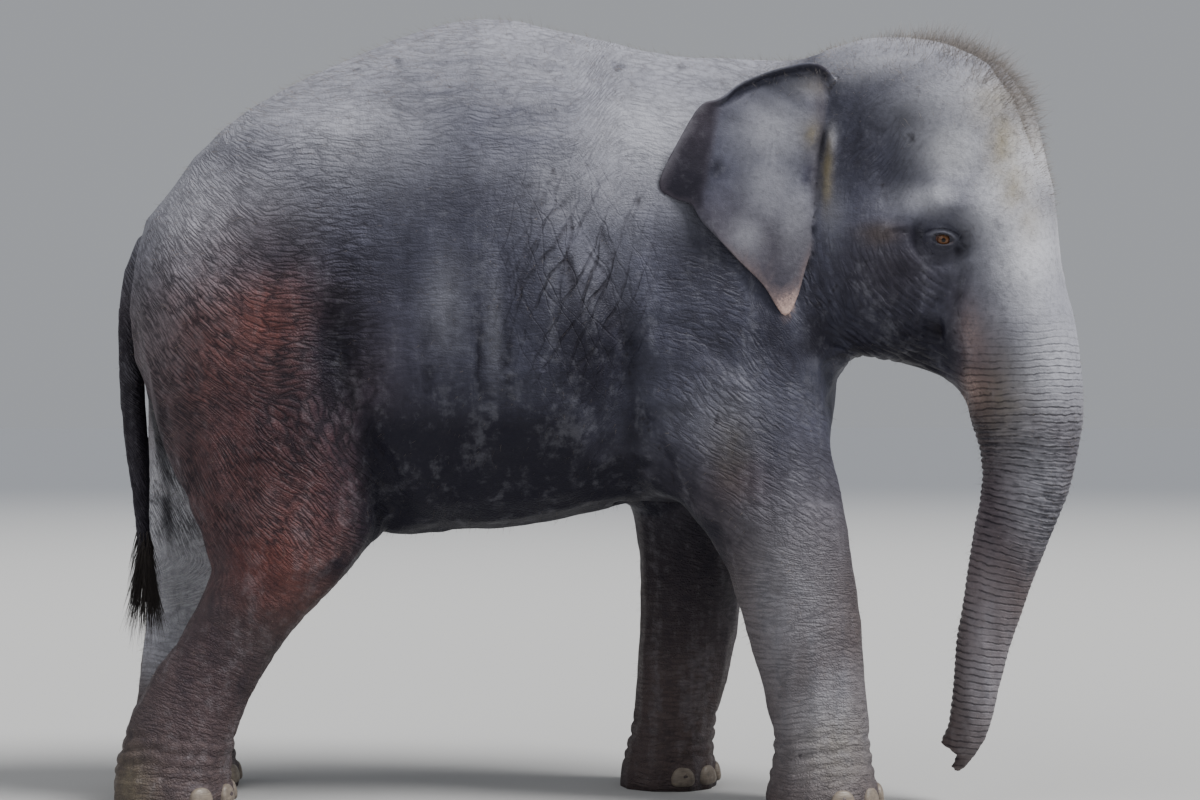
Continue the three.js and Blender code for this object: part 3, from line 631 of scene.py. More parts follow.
@dataclass(frozen=True)
class SkinFinish:
    """Wrinkled hide: slate above, umber on the legs, with stains, pale patches and lines, and painted light
    and shade: highlights, darker undersides, darkened grooves and hollows.
    """

    slate: Triple = (0.056, 0.058, 0.084)
    slate_pale: Triple = (0.372, 0.376, 0.42)
    slate_dark: Triple = (0.0085, 0.008, 0.017)
    umber: Triple = (0.078, 0.056, 0.052)
    rust: Triple = (0.215, 0.064, 0.048)
    pink: Triple = (0.64, 0.45, 0.39)
    olive: Triple = (0.24, 0.205, 0.13)
    # colour of the painted shade in grooves and hollows
    groove: Triple = (0.012, 0.01, 0.015)
    # colour of the painted highlights
    glare: Triple = (0.62, 0.62, 0.65)
    pore: Triple = (0.025, 0.024, 0.032)
    line_gap: float = 0.0125
    cross_gap: float = 0.036
    crack_cells: float = 118.0
    bump_depth: float = 0.0042

    def dress(self) -> bpy.types.Material:
        """Lays the finish out and returns its material."""
        sheet = Sheet("elephant_hide")
        rust, pink, dark, light = sheet.four("marks")
        brown, painted_light, recess_shade, olive = sheet.four("tints")
        blotch = sheet.noise(9.0, 5.0, rough=0.62)
        fine = sheet.noise(75.0, 3.0, rough=0.65)
        mottle = sheet.noise(42.0, 4.0, rough=0.68)
        streak = self.streak(sheet)
        cloud = sheet.total(
            sheet.times(blotch, 0.35), sheet.times(mottle, 0.4), sheet.times(streak, 0.55)
        )
        cloud = sheet.sum("SUBTRACT", cloud, 0.15)
        sunk, stains_and_groove_shade = self.grooves(sheet, fine)

        colour = sheet.mixed(sheet.step(blotch, 0.35, 0.68), self.slate, [c * 1.45 for c in self.slate])
        colour = sheet.mixed(self.patchy(sheet, brown, blotch), colour, self.umber)
        # the light mark: pale skin and painted light
        colour = sheet.mixed(self.patchy(sheet, light, cloud, 0.55), colour, self.slate_pale)
        # painted highlight: the pale glare colour where the painted-light share is high
        colour = sheet.mixed(sheet.times(painted_light, 0.8), colour, self.glare)
        stain = sheet.noise(20.0, 5.0, rough=0.7)
        colour = sheet.mixed(self.patchy(sheet, rust, stain, 0.34), colour, self.rust)
        moss = sheet.noise(26.0, 4.0, rough=0.65)
        colour = sheet.mixed(self.patchy(sheet, olive, moss, 0.4), colour, self.olive)
        # the dark mark: dark skin and painted shade
        colour = sheet.mixed(self.patchy(sheet, dark, cloud, 0.42), colour, self.slate_dark)
        tone = sheet.sum("SUBTRACT", sheet.total(mottle, streak), 1.0)
        colour = sheet.mixed(sheet.step(tone, 0.0, 0.35, 0.0, 0.3), colour, self.slate_dark)
        colour = sheet.mixed(sheet.step(tone, -0.35, 0.0, 0.14, 0.0), colour, self.slate_pale)
        speckle = sheet.noise(170.0, 2.0, rough=0.7)
        colour = sheet.mixed(self.patchy(sheet, pink, speckle, 0.6), colour, self.pink)
        colour = sheet.mixed(sheet.step(fine, 0.42, 0.85, 0.0, 0.35), colour, self.pore)
        # painted shade: the grooves darkened with the groove colour
        colour = sheet.mixed(sheet.sum("MINIMUM", stains_and_groove_shade, 0.8), colour, self.groove)
        # painted shade in hollows: the groove colour where the recess-shade share is high
        colour = sheet.mixed(sheet.times(recess_shade, 0.8), colour, self.groove)
        sheet.constants(Specular_IOR_Level=0.2)
        dull = sheet.step(blotch, 0.3, 0.7, 0.46, 0.62)
        return sheet.finish(colour, sheet.total(dull, sheet.times(sunk, 0.2)))

    def streak(self, sheet: Sheet) -> Socket:
        """Noise drawn out downwards, stronger low on the body, round a middle of 0.5."""
        streak = sheet.noise(17.0, 4.0, sheet.stretched((1.0, 1.0, 0.14)), 0.6)
        strength = sheet.step(sheet.axes()[2], 1.25, 1.55, 1.25, 0.3)
        return sheet.sum("ADD", sheet.times(sheet.sum("SUBTRACT", streak, 0.5), strength), 0.5)

    def grooves(self, sheet: Sheet, fine: Socket) -> tuple[Socket, Socket]:
        """Cuts the wrinkles, rings and small cells into the surface.

        Args:
            sheet: the material's nodes.
            fine: the noise of the finest grain.

        Returns:
            How deep a place lies, and how much painted shade darkens its grooves.
        """
        line_share, cross_share, crack_share, thin_share = sheet.four("line_share")
        along = sheet.creases("line_way", self.line_gap, 4.6, 0.8)
        across = sheet.creases("cross_way", self.cross_gap, 8.0, 0.9)
        counter = sheet.creases("counter_way", self.cross_gap * 1.2, 5.0, 1.0)
        small = sheet.cracks(self.crack_cells, sheet.stretched((1.0, 1.0, 1.25)), 0.01)
        wear = sheet.step(sheet.noise(16.0, 3.0, rough=0.6), 0.3, 0.62, 0.4, 1.0)
        thin = sheet.times(sheet.near(along, 0.17), line_share, wear)
        fold = sheet.total(
            sheet.times(sheet.near(along, 0.3), line_share, 0.75),
            sheet.times(sheet.near(across, 0.105), cross_share, 1.35),
            sheet.times(sheet.near(counter, 0.06), cross_share, 0.6),
        )
        fold = sheet.times(fold, wear)
        stray = sheet.times(sheet.noise(26.0, 3.0, sheet.stretched((1.0, 1.0, 0.5)), 0.6), 0.75)
        phase = sheet.sum("MULTIPLY_ADD", sheet.kept("line_way"), 1.0 / RING_GAP, stray)
        from_ring = sheet.step(sheet.sum("PINGPONG", phase, 0.5), 0.02, 0.2, 1.0, 0.0)
        gaps = sheet.step(sheet.noise(21.0, 3.0, rough=0.6), 0.34, 0.56, 0.25, 1.0)
        rings = sheet.times(from_ring, sheet.kept("ring_share"), gaps)
        cell = sheet.times(sheet.near(small, 0.3), crack_share, 0.32)
        sunk = sheet.total(fold, cell, sheet.times(rings, 0.6))
        grain = sheet.times(sheet.noise(380.0, 2.0), 0.11)
        height = sheet.total(sheet.times(sunk, -1.0), grain, sheet.times(fine, 0.55, thin_share))
        sheet.bump(height, self.bump_depth)
        # painted shade: how strongly each kind of groove is darkened
        shares = ((fold, 0.42), (thin, 0.42), (cell, 0.4), (rings, 0.62))
        return sunk, sheet.total(*(sheet.times(groove, share) for groove, share in shares))

    def patchy(self, sheet: Sheet, share: object, noise: object, spread: float = 0.3) -> Socket:
        """A mark with a broken edge.

        Args:
            sheet: the material's nodes.
            share: how strong the mark is.
            noise: what breaks its edge.
            spread: how ragged the edge is.

        Returns:
            The mark's strength, cut up by the noise.
        """
        broken = sheet.times(sheet.sum("SUBTRACT", noise, 0.5), spread * 2.0)
        edge = sheet.times(sheet.step(share, 0.0, 0.45), sheet.step(share, 0.7, 1.0, 1.0, 0.3))
        lifted = sheet.sum("ADD", share, sheet.times(broken, edge))
        return sheet.sum("MAXIMUM", sheet.sum("MINIMUM", lifted, 1.0), 0.0)


@dataclass(frozen=True)
class EyeFinish:
    """A moist eyeball: brown-black white, dark rim, amber iris and black pupil."""

    iris: Triple = (0.19, 0.082, 0.03)
    iris_dark: Triple = (0.05, 0.02, 0.01)
    white: Triple = (0.11, 0.06, 0.05)
    pupil: Triple = (0.004, 0.003, 0.003)

    def dress(self) -> bpy.types.Material:
        """Lays the finish out, reading the distance kept from the iris's middle."""
        sheet = Sheet("elephant_eye")
        out = sheet.kept("from_pupil")
        streak = sheet.noise(900.0, 3.0, rough=0.7)
        iris = sheet.mixed(sheet.step(streak, 0.35, 0.7), self.iris, self.iris_dark)
        iris = sheet.mixed(sheet.step(out, 0.0085, 0.015), iris, self.iris_dark)
        colour = sheet.mixed(sheet.step(out, 0.0148, 0.016), iris, self.white)
        colour = sheet.mixed(sheet.step(out, 0.0046, 0.0058, 1.0, 0.0), colour, self.pupil)
        sheet.constants(Specular_IOR_Level=0.35)
        return sheet.finish(colour, sheet.step(out, 0.012, 0.018, 0.06, 0.2))


@dataclass(frozen=True)
class NailFinish:
    """Dull horn with growth ridges, dirty in patches and along the ridges."""

    horn: Triple = (0.2, 0.165, 0.128)
    dirt: Triple = (0.09, 0.072, 0.06)

    def dress(self) -> bpy.types.Material:
        """Lays the finish out and returns its material."""
        sheet = Sheet("elephant_nail")
        ridges = sheet.noise(60.0, 3.0, sheet.stretched((0.5, 0.5, 4.0)))
        cloud = sheet.noise(60.0, 4.0, rough=0.6)
        colour = sheet.mixed(sheet.step(cloud, 0.32, 0.85), self.horn, self.dirt)
        colour = sheet.mixed(sheet.step(ridges, 0.4, 0.7, 0.0, 0.5), colour, self.dirt)
        sheet.bump(ridges, 0.0012)
        return sheet.finish(colour, sheet.step(cloud, 0.3, 0.7, 0.42, 0.62))


@dataclass(frozen=True)
class HairFinish:
    """Coarse hair that carries the skin's marks, painted light and shade among them; a strand's kept tone
    makes it paler.
    """

    name: str = "elephant_hair"
    dark: Triple = (0.03, 0.024, 0.022)
    pale: Triple = (0.3, 0.24, 0.19)
    rust: Triple = (0.2, 0.08, 0.045)
    rough: float = 0.5

    def dress(self) -> bpy.types.Material:
        """Lays the finish out and returns its material."""
        sheet = Sheet(self.name)
        rust, _, dark, light = sheet.four("marks")
        colour = sheet.mixed(sheet.kept("tone"), self.dark, self.pale)
        colour = sheet.mixed(sheet.times(rust, 0.6), colour, self.rust)
        colour = sheet.mixed(sheet.times(light, 0.35), colour, self.pale)
        colour = sheet.mixed(sheet.times(dark, 0.5), colour, self.dark)
        sheet.join(colour, sheet.surface.inputs["Base Color"])
        sheet.constants(Roughness=self.rough, Specular_IOR_Level=0.35)
        return sheet.material


@dataclass(frozen=True)
class FloorFinish:
    """A plain pale studio floor that deepens towards the horizon."""

    near: Triple = (0.46, 0.46, 0.455)
    far: Triple = (0.198, 0.207, 0.222)
    fade_from: float = 5.0
    fade_to: float = 26.0

    def dress(self) -> bpy.types.Material:
        """Lays the finish out and returns its material."""
        sheet = Sheet("studio_floor")
        length = sheet.add("VectorMath")
        length.operation = "LENGTH"
        sheet.join(sheet.place, length.inputs[0])
        fade = sheet.step(length.outputs["Value"], self.fade_from, self.fade_to)
        sheet.join(sheet.mixed(fade, self.near, self.far), sheet.surface.inputs["Base Color"])
        sheet.constants(Roughness=1.0, Specular_IOR_Level=0.0)
        return sheet.material


# ---- ears


@dataclass
class Ear:
    """A thin blade from the canal to the rim, its rear edge folded out along a crease."""

    side: Side
    flare: float
    hinge: Triple = (0.064, 0.25, 1.556)
    middle: tuple[float, float] = (0.118, -0.022)
    crease_top: tuple[float, float] = (0.234, 0.15)
    crease_foot: tuple[float, float] = (0.28, -0.078)
    flap_turn: float = -0.6
    thick_root: float = 0.015
    thick_rim: float = 0.0045
    around: int = 180
    across: int = 64
    rim: list[tuple[float, float]] = field(
        default_factory=lambda: [
            (-0.084, 0.15), (-0.064, 0.212), (0.006, 0.243), (0.098, 0.227), (0.188, 0.192), (0.24, 0.154),
            (0.28, 0.137), (0.324, 0.064), (0.374, -0.046), (0.347, -0.084), (0.308, -0.1), (0.282, -0.148),
            (0.202, -0.222), (0.13, -0.29), (0.074, -0.362), (0.042, -0.32), (0.02, -0.246), (-0.014, -0.15),
            (-0.04, -0.06), (-0.062, 0.05), (-0.084, 0.15),
        ]
    )

    def __post_init__(self) -> None:
        """Draws the rim as a fine closed line."""
        self.edge = smooth_path(self.rim, 16)

    def local(self, own: Array) -> tuple[Array, Array, Array]:
        """Places measured along the ear: behind the canal, above it, and out of its plane."""
        forward = own[:, 0] - self.hinge[0]
        outward = own[:, 1] * self.side.value - self.hinge[1]
        c, s = math.cos(self.flare), math.sin(self.flare)
        return outward * s - forward * c, own[:, 2] - self.hinge[2], forward * s + outward * c

    def share(self, own: Array) -> tuple[Array, Array, Array]:
        """How much each place belongs to this ear.

        Args:
            own: points in the head's frame.

        Returns:
            The share, 1 on the outer face and -1 on the inner one, and the distance to the rim.
        """
        back, up, out = self.local(own)
        off = out - self.stand_off(back, up)
        near = (np.abs(off) < 0.045) & (own[:, 2] > 1.15) & (back > -0.08)
        near &= own[:, 1] * self.side.value > 0.15
        seen = np.stack([back, up], axis=1)
        gap = np.full(len(own), 1.0)
        inside = np.zeros(len(own), dtype=bool)
        gap[near] = reach_to(seen[near], self.edge)
        for (x0, y0), (x1, y1) in zip(self.edge[:-1], self.edge[1:]):
            crosses = near & ((y0 > up) != (y1 > up))
            inside ^= crosses & (back < x0 + (up - y0) * (x1 - x0) / (y1 - y0 if y1 != y0 else 1.0))
        share = ramp(np.abs(off), 0.04, 0.026) * ramp(back, -0.055, -0.025) * near
        return share * (inside | (gap < 0.006)), np.where(off > 0, 1.0, -1.0), gap

    def past_crease(self, back: Array, up: Array) -> Array:
        """How far behind the folded edge's crease a place of the blade lies."""
        (foot, low), (top, high) = self.crease_foot, self.crease_top
        return back - np.interp(up, [low, high], [foot, top])

    def stand_off(self, back: Array, up: Array) -> Array:
        """How far the blade bends out of its plane.

        Args:
            back: distance behind the canal.
            up: height above it.

        Returns:
            The offset, outward.
        """
        past = self.past_crease(back, up)
        flap = self.flap_turn * (past + np.hypot(past, 0.014)) / 2
        cup = -0.012 * np.sin(math.pi * np.clip((back + 0.04) / 0.3, 0, 1))
        top = 0.02 * ramp(up, 0.17, 0.245)
        root = -0.046 * ramp(-back, -0.03, 0.08)
        waves = 0.004 * np.sin(back * 34.0 + up * 9.0) * ramp(back, 0.02, 0.16)
        return flap + cup + top + root + waves

    def build(self) -> Piece:
        """Makes the closed blade in the frame, from a ball whose equator becomes the rim.

        Returns:
            The ear's object.
        """
        bm = bmesh.new()
        bmesh.ops.create_uvsphere(bm, u_segments=self.around, v_segments=self.across, radius=1.0)
        ball = np.array([vertex.co[:] for vertex in bm.verts])
        rim = self.edge
        along = np.concatenate([[0.0], np.cumsum(np.linalg.norm(np.diff(rim, axis=0), axis=1))])
        turn = (np.arctan2(ball[:, 1], ball[:, 0]) / (2 * math.pi)) % 1.0
        edge = np.stack([np.interp(turn * along[-1], along, rim[:, axis]) for axis in (0, 1)], axis=1)
        height = np.clip(ball[:, 2], -1.0, 1.0)
        spread = np.sqrt(1.0 - height**2) ** 0.9
        flat = np.array(self.middle) * (1.0 - spread[:, None]) + edge * spread[:, None]
        back, up = flat.T
        thick = self.thick_rim + (self.thick_root - self.thick_rim) * ramp(-back, -0.13, 0.06)
        top = ramp(up, 0.06, 0.15) * ramp(back, 0.27, 0.22)
        lip = 0.01 * ramp(spread, 0.93, 0.985) - 0.006 * hump(spread - 0.9, 0.035)
        lip = lip * top * ramp(back, -0.085, -0.03)
        fan = np.arctan2(up + 0.02, back + 0.1)
        veins = 0.0012 * np.sin(fan * 26.0 + 3.0 * spread) * ramp(spread, 0.3, 0.7)
        through = np.sign(height) * thick * np.sqrt(np.abs(height)) + veins * (height > 0)
        out = self.stand_off(back, up) + lip + through
        c, s = math.cos(self.flare), math.sin(self.flare)
        forward = -back * c + out * s
        outward = back * s + out * c
        across = self.side.value * (outward + self.hinge[1])
        own = np.stack([forward + self.hinge[0], across, up + self.hinge[2]], axis=1)
        for vertex, at in zip(bm.verts, STANCE.out_of_head(own)):
            vertex.co = at
        if self.side is Side.RIGHT:
            bmesh.ops.reverse_faces(bm, faces=bm.faces)
        bmesh.ops.recalc_face_normals(bm, faces=bm.faces)
        return object_from(bm, f"ear_{self.side.word}_blade")


# ---- eyes


@dataclass
class Eye:
    """An eyeball at its node's place, with a cornea bulge, and the lids' measures round it."""

    side: Side
    radius: float = 0.02
    cornea: float = 0.0022
    cornea_reach: float = 0.015
    half_width: float = 0.0248
    upper: float = 0.0128
    lower: float = 0.0122
    lid_curve: tuple[float, float] = (0.03, 0.046)
    lid_thick: float = 0.0032
    axis_in_head: Triple = (0.27, 0.96, -0.04)
    gaze_down: float = 0.1
    tilt: float = 0.16  # the inner corner lies lower than the outer one
    corner_power: float = 1.75  # how pointed the almond's corners are

    def __post_init__(self) -> None:
        """Finds the eye's centre and axes in the frame."""
        low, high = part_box(f"eye_{self.side.word}")
        self.centre = (Vector(low) + Vector(high)) / 2
        x, y, z = self.axis_in_head
        self.out = Vector(STANCE.turned(np.array([[x, y * self.side.value, z]]))[0]).normalized()
        self.up = (Vector((0, 0, 1)) - self.out * self.out.z).normalized()
        self.fore = self.up.cross(self.out)
        if self.fore.dot(Vector(STANCE.ahead)) < 0:
            self.fore = -self.fore

    def local(self, at: Array) -> tuple[Array, Array, Array]:
        """Places round the eye: forward, up the face, and outward from the ball's centre."""
        away = at - np.array(self.centre)
        fore, up = away @ np.array(self.fore), away @ np.array(self.up)
        c, s = math.cos(self.tilt), math.sin(self.tilt)
        return c * fore - s * up, s * fore + c * up, away @ np.array(self.out)

    def almond(self, fore: Array, up: Array) -> Array:
        """How far out of the lids' almond a place is: 1 on the lids' edge."""
        half = np.where(up > 0, self.upper, self.lower)
        power = self.corner_power
        return (np.abs(fore / self.half_width) ** power + np.abs(up / half) ** power) ** (1 / power)

    def build(self) -> Piece:
        """Makes the eyeball and keeps each vertex's distance from the pupil's middle.

        Returns:
            The eyeball.
        """
        bm = bmesh.new()
        bmesh.ops.create_uvsphere(bm, u_segments=64, v_segments=48, radius=self.radius)
        gaze = (self.out - self.up * self.gaze_down + self.fore * 0.1).normalized()
        turn = gaze.to_track_quat("Z", "Y").to_matrix()
        for vertex in bm.verts:
            off = math.hypot(vertex.co.x, vertex.co.y)
            if vertex.co.z > 0 and off < self.cornea_reach:
                vertex.co.z += self.cornea * (1.0 - (off / self.cornea_reach) ** 2) ** 2
        away = np.array([math.hypot(v.co.x, v.co.y) if v.co.z > 0 else self.radius for v in bm.verts])
        bmesh.ops.transform(bm, matrix=Matrix.Translation(self.centre) @ turn.to_4x4(), verts=bm.verts)
        eyeball = object_from(bm, f"eyeball_{self.side.word}")
        keep_floats(eyeball.data, "from_pupil", away)
        eyeball.data.materials.append(EyeFinish().dress())
        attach(eyeball, "root")
        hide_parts(f"eye_{self.side.word}")
        return eyeball

    def shape_lids(self, at: Array) -> Array:
        """Lays skin over the ball as lids, opens the almond and adds the folds round it.

        Args:
            at: the skin's points in the frame.

        Returns:
            The points, moved where they lie near the eye.
        """
        fore, up, out = self.local(at)
        near = (np.hypot(fore, up) < 0.115) & (out > -0.03) & (out < 0.09)
        if not near.any():
            return at
        u, v, w = fore[near], up[near], out[near]
        flat = np.hypot(u, v * 1.15)
        rho = self.almond(u, v)
        ball = np.sqrt(np.maximum(self.radius**2 - u**2 - v**2, 0.0))
        along, over = self.lid_curve
        lids = self.radius + self.lid_thick - u**2 / (2 * along) - v**2 / (2 * over)
        lids = lids + 0.0024 * hump(rho - 1.35, 0.3) * np.where(v > 0, 1.5, 0.8)
        floor = np.where(flat < 0.0175, np.minimum(ball - 0.0016, lids - 0.006), lids - 0.006)
        margin = np.maximum(ball + 0.0003, lids - 0.0035)
        open_share = 1.0 - ramp(rho, 0.9, 1.0)
        edge_share = 1.0 - ramp(rho, 1.0, 1.16)
        target = floor * open_share + (margin * edge_share + lids * (1 - edge_share)) * (1 - open_share)
        hold = ramp(np.hypot(u / 1.15, v), 0.03, 0.078)
        shaped = target * (1 - hold) + np.minimum(w, 0.06) * hold
        moved = at.copy()
        change = shaped - w + self.folds(at[near], u, v)
        moved[near] += change[:, None] * np.array(self.out)
        return moved

    def folds(self, at: Array, u: Array, v: Array) -> Array:
        """The rings of folds round the lids and the fine lines behind them, as a height.

        Args:
            at: the skin's points in the frame.
            u: how far forward of the pupil each lies.
            v: how far above it.

        Returns:
            The height at each point.
        """
        flat, rho = np.hypot(u, v * 1.15), self.almond(u, v)
        widen = ramp(np.hypot(u / 1.3, v), 0.018, 0.055)
        wide, power = 1.55 - 0.42 * widen, 1.7 + 0.35 * widen
        level = np.where(v > 0, 0.95, 1.04)
        ring = (np.abs(u / wide) ** power + np.abs(v / level) ** power) ** (1 / power)
        wobble = 0.0022 * wander(at, 0.022, 5) + 0.001 * wander(at, 0.009, 6)
        folds = np.zeros(len(u))
        for radius, depth, width, top in (
            (0.0182, 0.0016, 0.0018, 0.9), (0.024, 0.0056, 0.0028, 1.3), (0.031, 0.0028, 0.0024, 0.5),
            (0.039, 0.0062, 0.004, 1.1), (0.0485, 0.003, 0.0032, 0.4), (0.058, 0.0044, 0.0044, 0.4),
            (0.07, 0.003, 0.0042, 0.1),
        ):
            share = np.where(v > 0, top, 1.0) * np.where(u > 0, 1.0 - 0.6 * ramp(ring, 0.035, 0.06), 1.0)
            round_eye = [u / (flat + 0.004), v / (flat + 0.004), np.full(len(u), radius * 60.0)]
            share = share * np.clip(0.62 + 0.75 * wander(np.stack(round_eye, axis=1), 0.8, 8), 0.1, 1.25)
            folds -= depth * share * hump(ring + wobble - radius, width)
            folds += depth * 0.45 * share * hump(ring + wobble - radius - 2.1 * width, width)
        folds *= ramp(rho, 1.2, 1.5)
        lines = furrow(np.arctan2(v, -u) * 9.0 + 2.0 * wander(at, 0.03, 7), 3.0)
        lines = lines * np.where(u < 0, 1.0, 0.2)
        return folds - 0.0014 * lines * ramp(ring, 0.02, 0.03) * ramp(ring, 0.075, 0.05)


# ---- the skin


LEGS = {"fore_right": 5, "fore_left": 5, "hind_right": 4, "hind_left": 4}  # toenails on each
FLESH = (
    "head", "jaw", "neck", "chest", "belly", "rump", "tail", "trunk_1", "trunk_2", "trunk_3", "trunk_4",
    *(f"leg_{leg}_{part}" for leg in LEGS for part in ("upper", "lower")),
    *(f"foot_{leg}" for leg in LEGS),
)


def nail_nodes(leg: str) -> list[str]:
    """The names of a foot's toenail nodes."""
    return [f"nail_{leg}_{n + 1}" for n in range(LEGS[leg])]


@dataclass
class Hide:
    """The one skin over all the flesh, with its folds, lids, wrinkles and marks."""

    ears: list[Ear]
    eyes: list[Eye]
    voxel: float = 0.0085
    overlap: float = 0.0012
    most_faces: int = 150_000
    fold_gap: float = 0.04
    finish: SkinFinish = SkinFinish()

    def build(self) -> Piece:
        """Makes the skin, step by step, and dresses it.

        Returns:
            The skin's object.
        """
        skin = self.wrapped()
        relax(skin.data, 16)
        self.trunk_line = self.measured_trunk(points_of(skin.data))
        self.shape_forms(skin.data)
        skin = self.with_ears(skin)
        self.refine(skin, self.near_head)
        self.on_blade = self.blade_share(skin.data)
        self.shape_folds(skin.data)
        self.ease(skin.data)
        skin = self.thinned(skin)
        for reach in (0.08, 0.042):
            self.refine(skin, lambda at, reach=reach: self.near_eyes(at, reach))
        at = points_of(skin.data)
        for eye in self.eyes:
            at = eye.shape_lids(at)
        at[at[:, 2] < 0.006, 2] = 0.0
        place(skin.data, at)
        skin.data.shade_smooth()
        self.on_blade = self.blade_share(skin.data)
        self.mark(skin.data)
        skin.data.materials.clear()
        skin.data.materials.append(self.finish.dress())
        skin.data.polygons.foreach_set("material_index", np.zeros(len(skin.data.polygons), dtype=np.int32))
        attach(skin, "root")
        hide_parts(*FLESH, *(f"ear_{ear.side.word}" for ear in self.ears))
        log.info("skin: %d faces", len(skin.data.polygons))
        return skin

    def wrapped(self) -> Piece:
        """Joins slightly grown copies of the flesh nodes and wraps them in one closed mesh.

        Returns:
            The closed skin.
        """
        bm = bmesh.new()
        for name in (*FLESH, *(nail for leg in LEGS for nail in nail_nodes(leg))):
            part = bmesh.new()
            part.from_mesh(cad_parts[name].data)
            bmesh.ops.remove_doubles(part, verts=part.verts, dist=1e-5)
            part.normal_update()
            for vertex in part.verts:
                vertex.co += vertex.normal * self.overlap
            loose = bpy.data.meshes.new("loose")
            part.to_mesh(loose)
            part.free()
            bm.from_mesh(loose)
            bpy.data.meshes.remove(loose)
        for eye in self.eyes:
            self.plug(bm, eye)
        self.add_finger(bm)
        rough = object_from(bm, "rough_skin")
        wrap = rough.modifiers.new("wrap", "REMESH")
        wrap.mode = "VOXEL"
        wrap.voxel_size = self.voxel
        return settled(rough, "skin")

    def plug(self, bm: bmesh.types.BMesh, eye: Eye) -> None:
        """Fills the eye's socket level with the face, so that the lids have skin to grow from.

        Args:
            bm: the flesh so far.
            eye: the eye whose socket is filled.
        """
        turn = eye.out.to_track_quat("Z", "Y").to_matrix().to_4x4()
        centre = Matrix.Translation(eye.centre + eye.out * 0.01)
        bmesh.ops.create_cone(
            bm, cap_ends=True, segments=24, radius1=0.025, radius2=0.027, depth=0.032, matrix=centre @ turn
        )

    def add_finger(self, bm: bmesh.types.BMesh) -> None:
        """Adds the finger at the tip of the trunk, on the side away from the mouth.

        Args:
            bm: the flesh so far.
        """
        grown = bmesh.ops.create_uvsphere(bm, u_segments=16, v_segments=10, radius=1.0)["verts"]
        bmesh.ops.scale(bm, vec=(0.016, 0.015, 0.03), verts=grown)
        bmesh.ops.rotate(bm, matrix=Matrix.Rotation(0.75, 3, "Y"), verts=grown)
        bmesh.ops.translate(bm, vec=(0.354, 0.0, 0.104), verts=grown)
        for vertex in grown:
            vertex.co = STANCE.out_of_head(np.array([vertex.co[:]]))[0]

    def measured_trunk(self, at: Array) -> Array:
        """The middle of the trunk at a ladder of heights, in the head's frame: height, forward.

        Args:
            at: points in the frame, one per row.

        Returns:
            Rows of height and forward place.
        """
        own = STANCE.head(at)
        stops = []
        for z in np.arange(0.13, 1.1, 0.03):
            level = (np.abs(own[:, 2] - z) < 0.012) & (own[:, 0] > 0.22) & (np.abs(own[:, 1]) < 0.16)
            if z > 0.93:
                level &= own[:, 0] > 0.38
            ring = own[level]
            stops.append((z, (ring[:, 0].min() + ring[:, 0].max()) / 2 if len(ring) else stops[-1][1]))
        line = np.array(stops)
        line[:, 1] = np.convolve(np.pad(line[:, 1], 4, "edge"), np.full(9, 1 / 9), "valid")
        return line

    def trunk_share(self, own: Array) -> Array:
        """How much a place belongs to the trunk.

        Args:
            own: points in the head's frame.

        Returns:
            The share of each point.
        """
        x, y, z = own.T
        front = ramp(x, 0.335, 0.4)
        low = ramp(z, 0.93, 0.86)
        slim = ramp(np.abs(y), 0.2, 0.16) * ramp(x, 0.17, 0.22)
        return ramp(z, 1.3, 1.06) * np.maximum(front, low) * slim

    def ring_way(self, at: Array) -> Array:
        """Metres counted along the trunk, the legs and the tail, square to their length.

        Args:
            at: points in the frame, one per row.

        Returns:
            The metres at each point.
        """
        own = STANCE.head(at)
        body = STANCE.body(at)
        z, x = self.trunk_line.T
        level = np.clip(own[:, 2], z[0], z[-1])
        off = own[:, 0] - np.interp(level, z, x)
        slope = np.interp(level, z, np.gradient(x, z))
        share = self.trunk_share(own)
        tilt = np.where(share > 0, slope * off / (1 + slope**2), 0.0) * share
        hind = (body[:, 0] < -0.45) & (body[:, 1] < 0)
        shank = np.where(hind, ramp(body[:, 2], 0.56, 0.44) * ramp(body[:, 2], 0.1, 0.2), 0.0)
        lean = 0.42 * shank * (body[:, 0] + 0.86)
        sway = (0.01 * wander(at, 0.11, 21) + 0.003 * wander(at, 0.045, 22)) * (1 - 0.6 * share)
        return own[:, 2] + tilt + lean + sway

    def line_way(self, at: Array) -> Array:
        """Metres counted across the main skin lines of each region.

        Args:
            at: points in the frame, one per row.

        Returns:
            The metres at each point.
        """
        body, own = STANCE.body(at), STANCE.head(at)
        x, z = body[:, 0], body[:, 2]
        behind = np.maximum(-0.78 - x, 0.0)
        slope = 0.85 * (x + 0.8) * ramp(z, 1.06, 0.84) * ramp(z, 0.42, 0.6)
        haunch = z - 1.7 * behind**1.5 + slope
        arch = np.hypot(x - 0.1, (z - 0.66) * 0.95) - 0.3
        arm = 0.86 * (z - 0.86) + 0.5 * (x - 0.3)
        shoulder = arm + (arch - arm) * ramp(z - 0.5 * x, 0.82, 0.98)
        cheek = 1.43 - self.cheek_way(own)
        upper = ramp(z, 0.42, 0.6)
        ring, trunk = self.ring_way(at), self.trunk_share(own)
        way = ring + (haunch - z) * ramp(-x, 0.3, 0.44) * upper
        before = ramp(x, -0.08, 0.06) * ramp(z, 0.5, 0.66)
        way = way + (shoulder + 0.86 - way) * before
        way = way + (cheek - way) * head_share(own)
        way = way + (ring - way) * trunk
        calm = 1 - np.maximum(trunk, 0.7 * ramp(z, 0.66, 0.5))
        return way + (0.01 * wander(at, 0.1, 31) + 0.004 * wander(at, 0.04, 32)) * calm

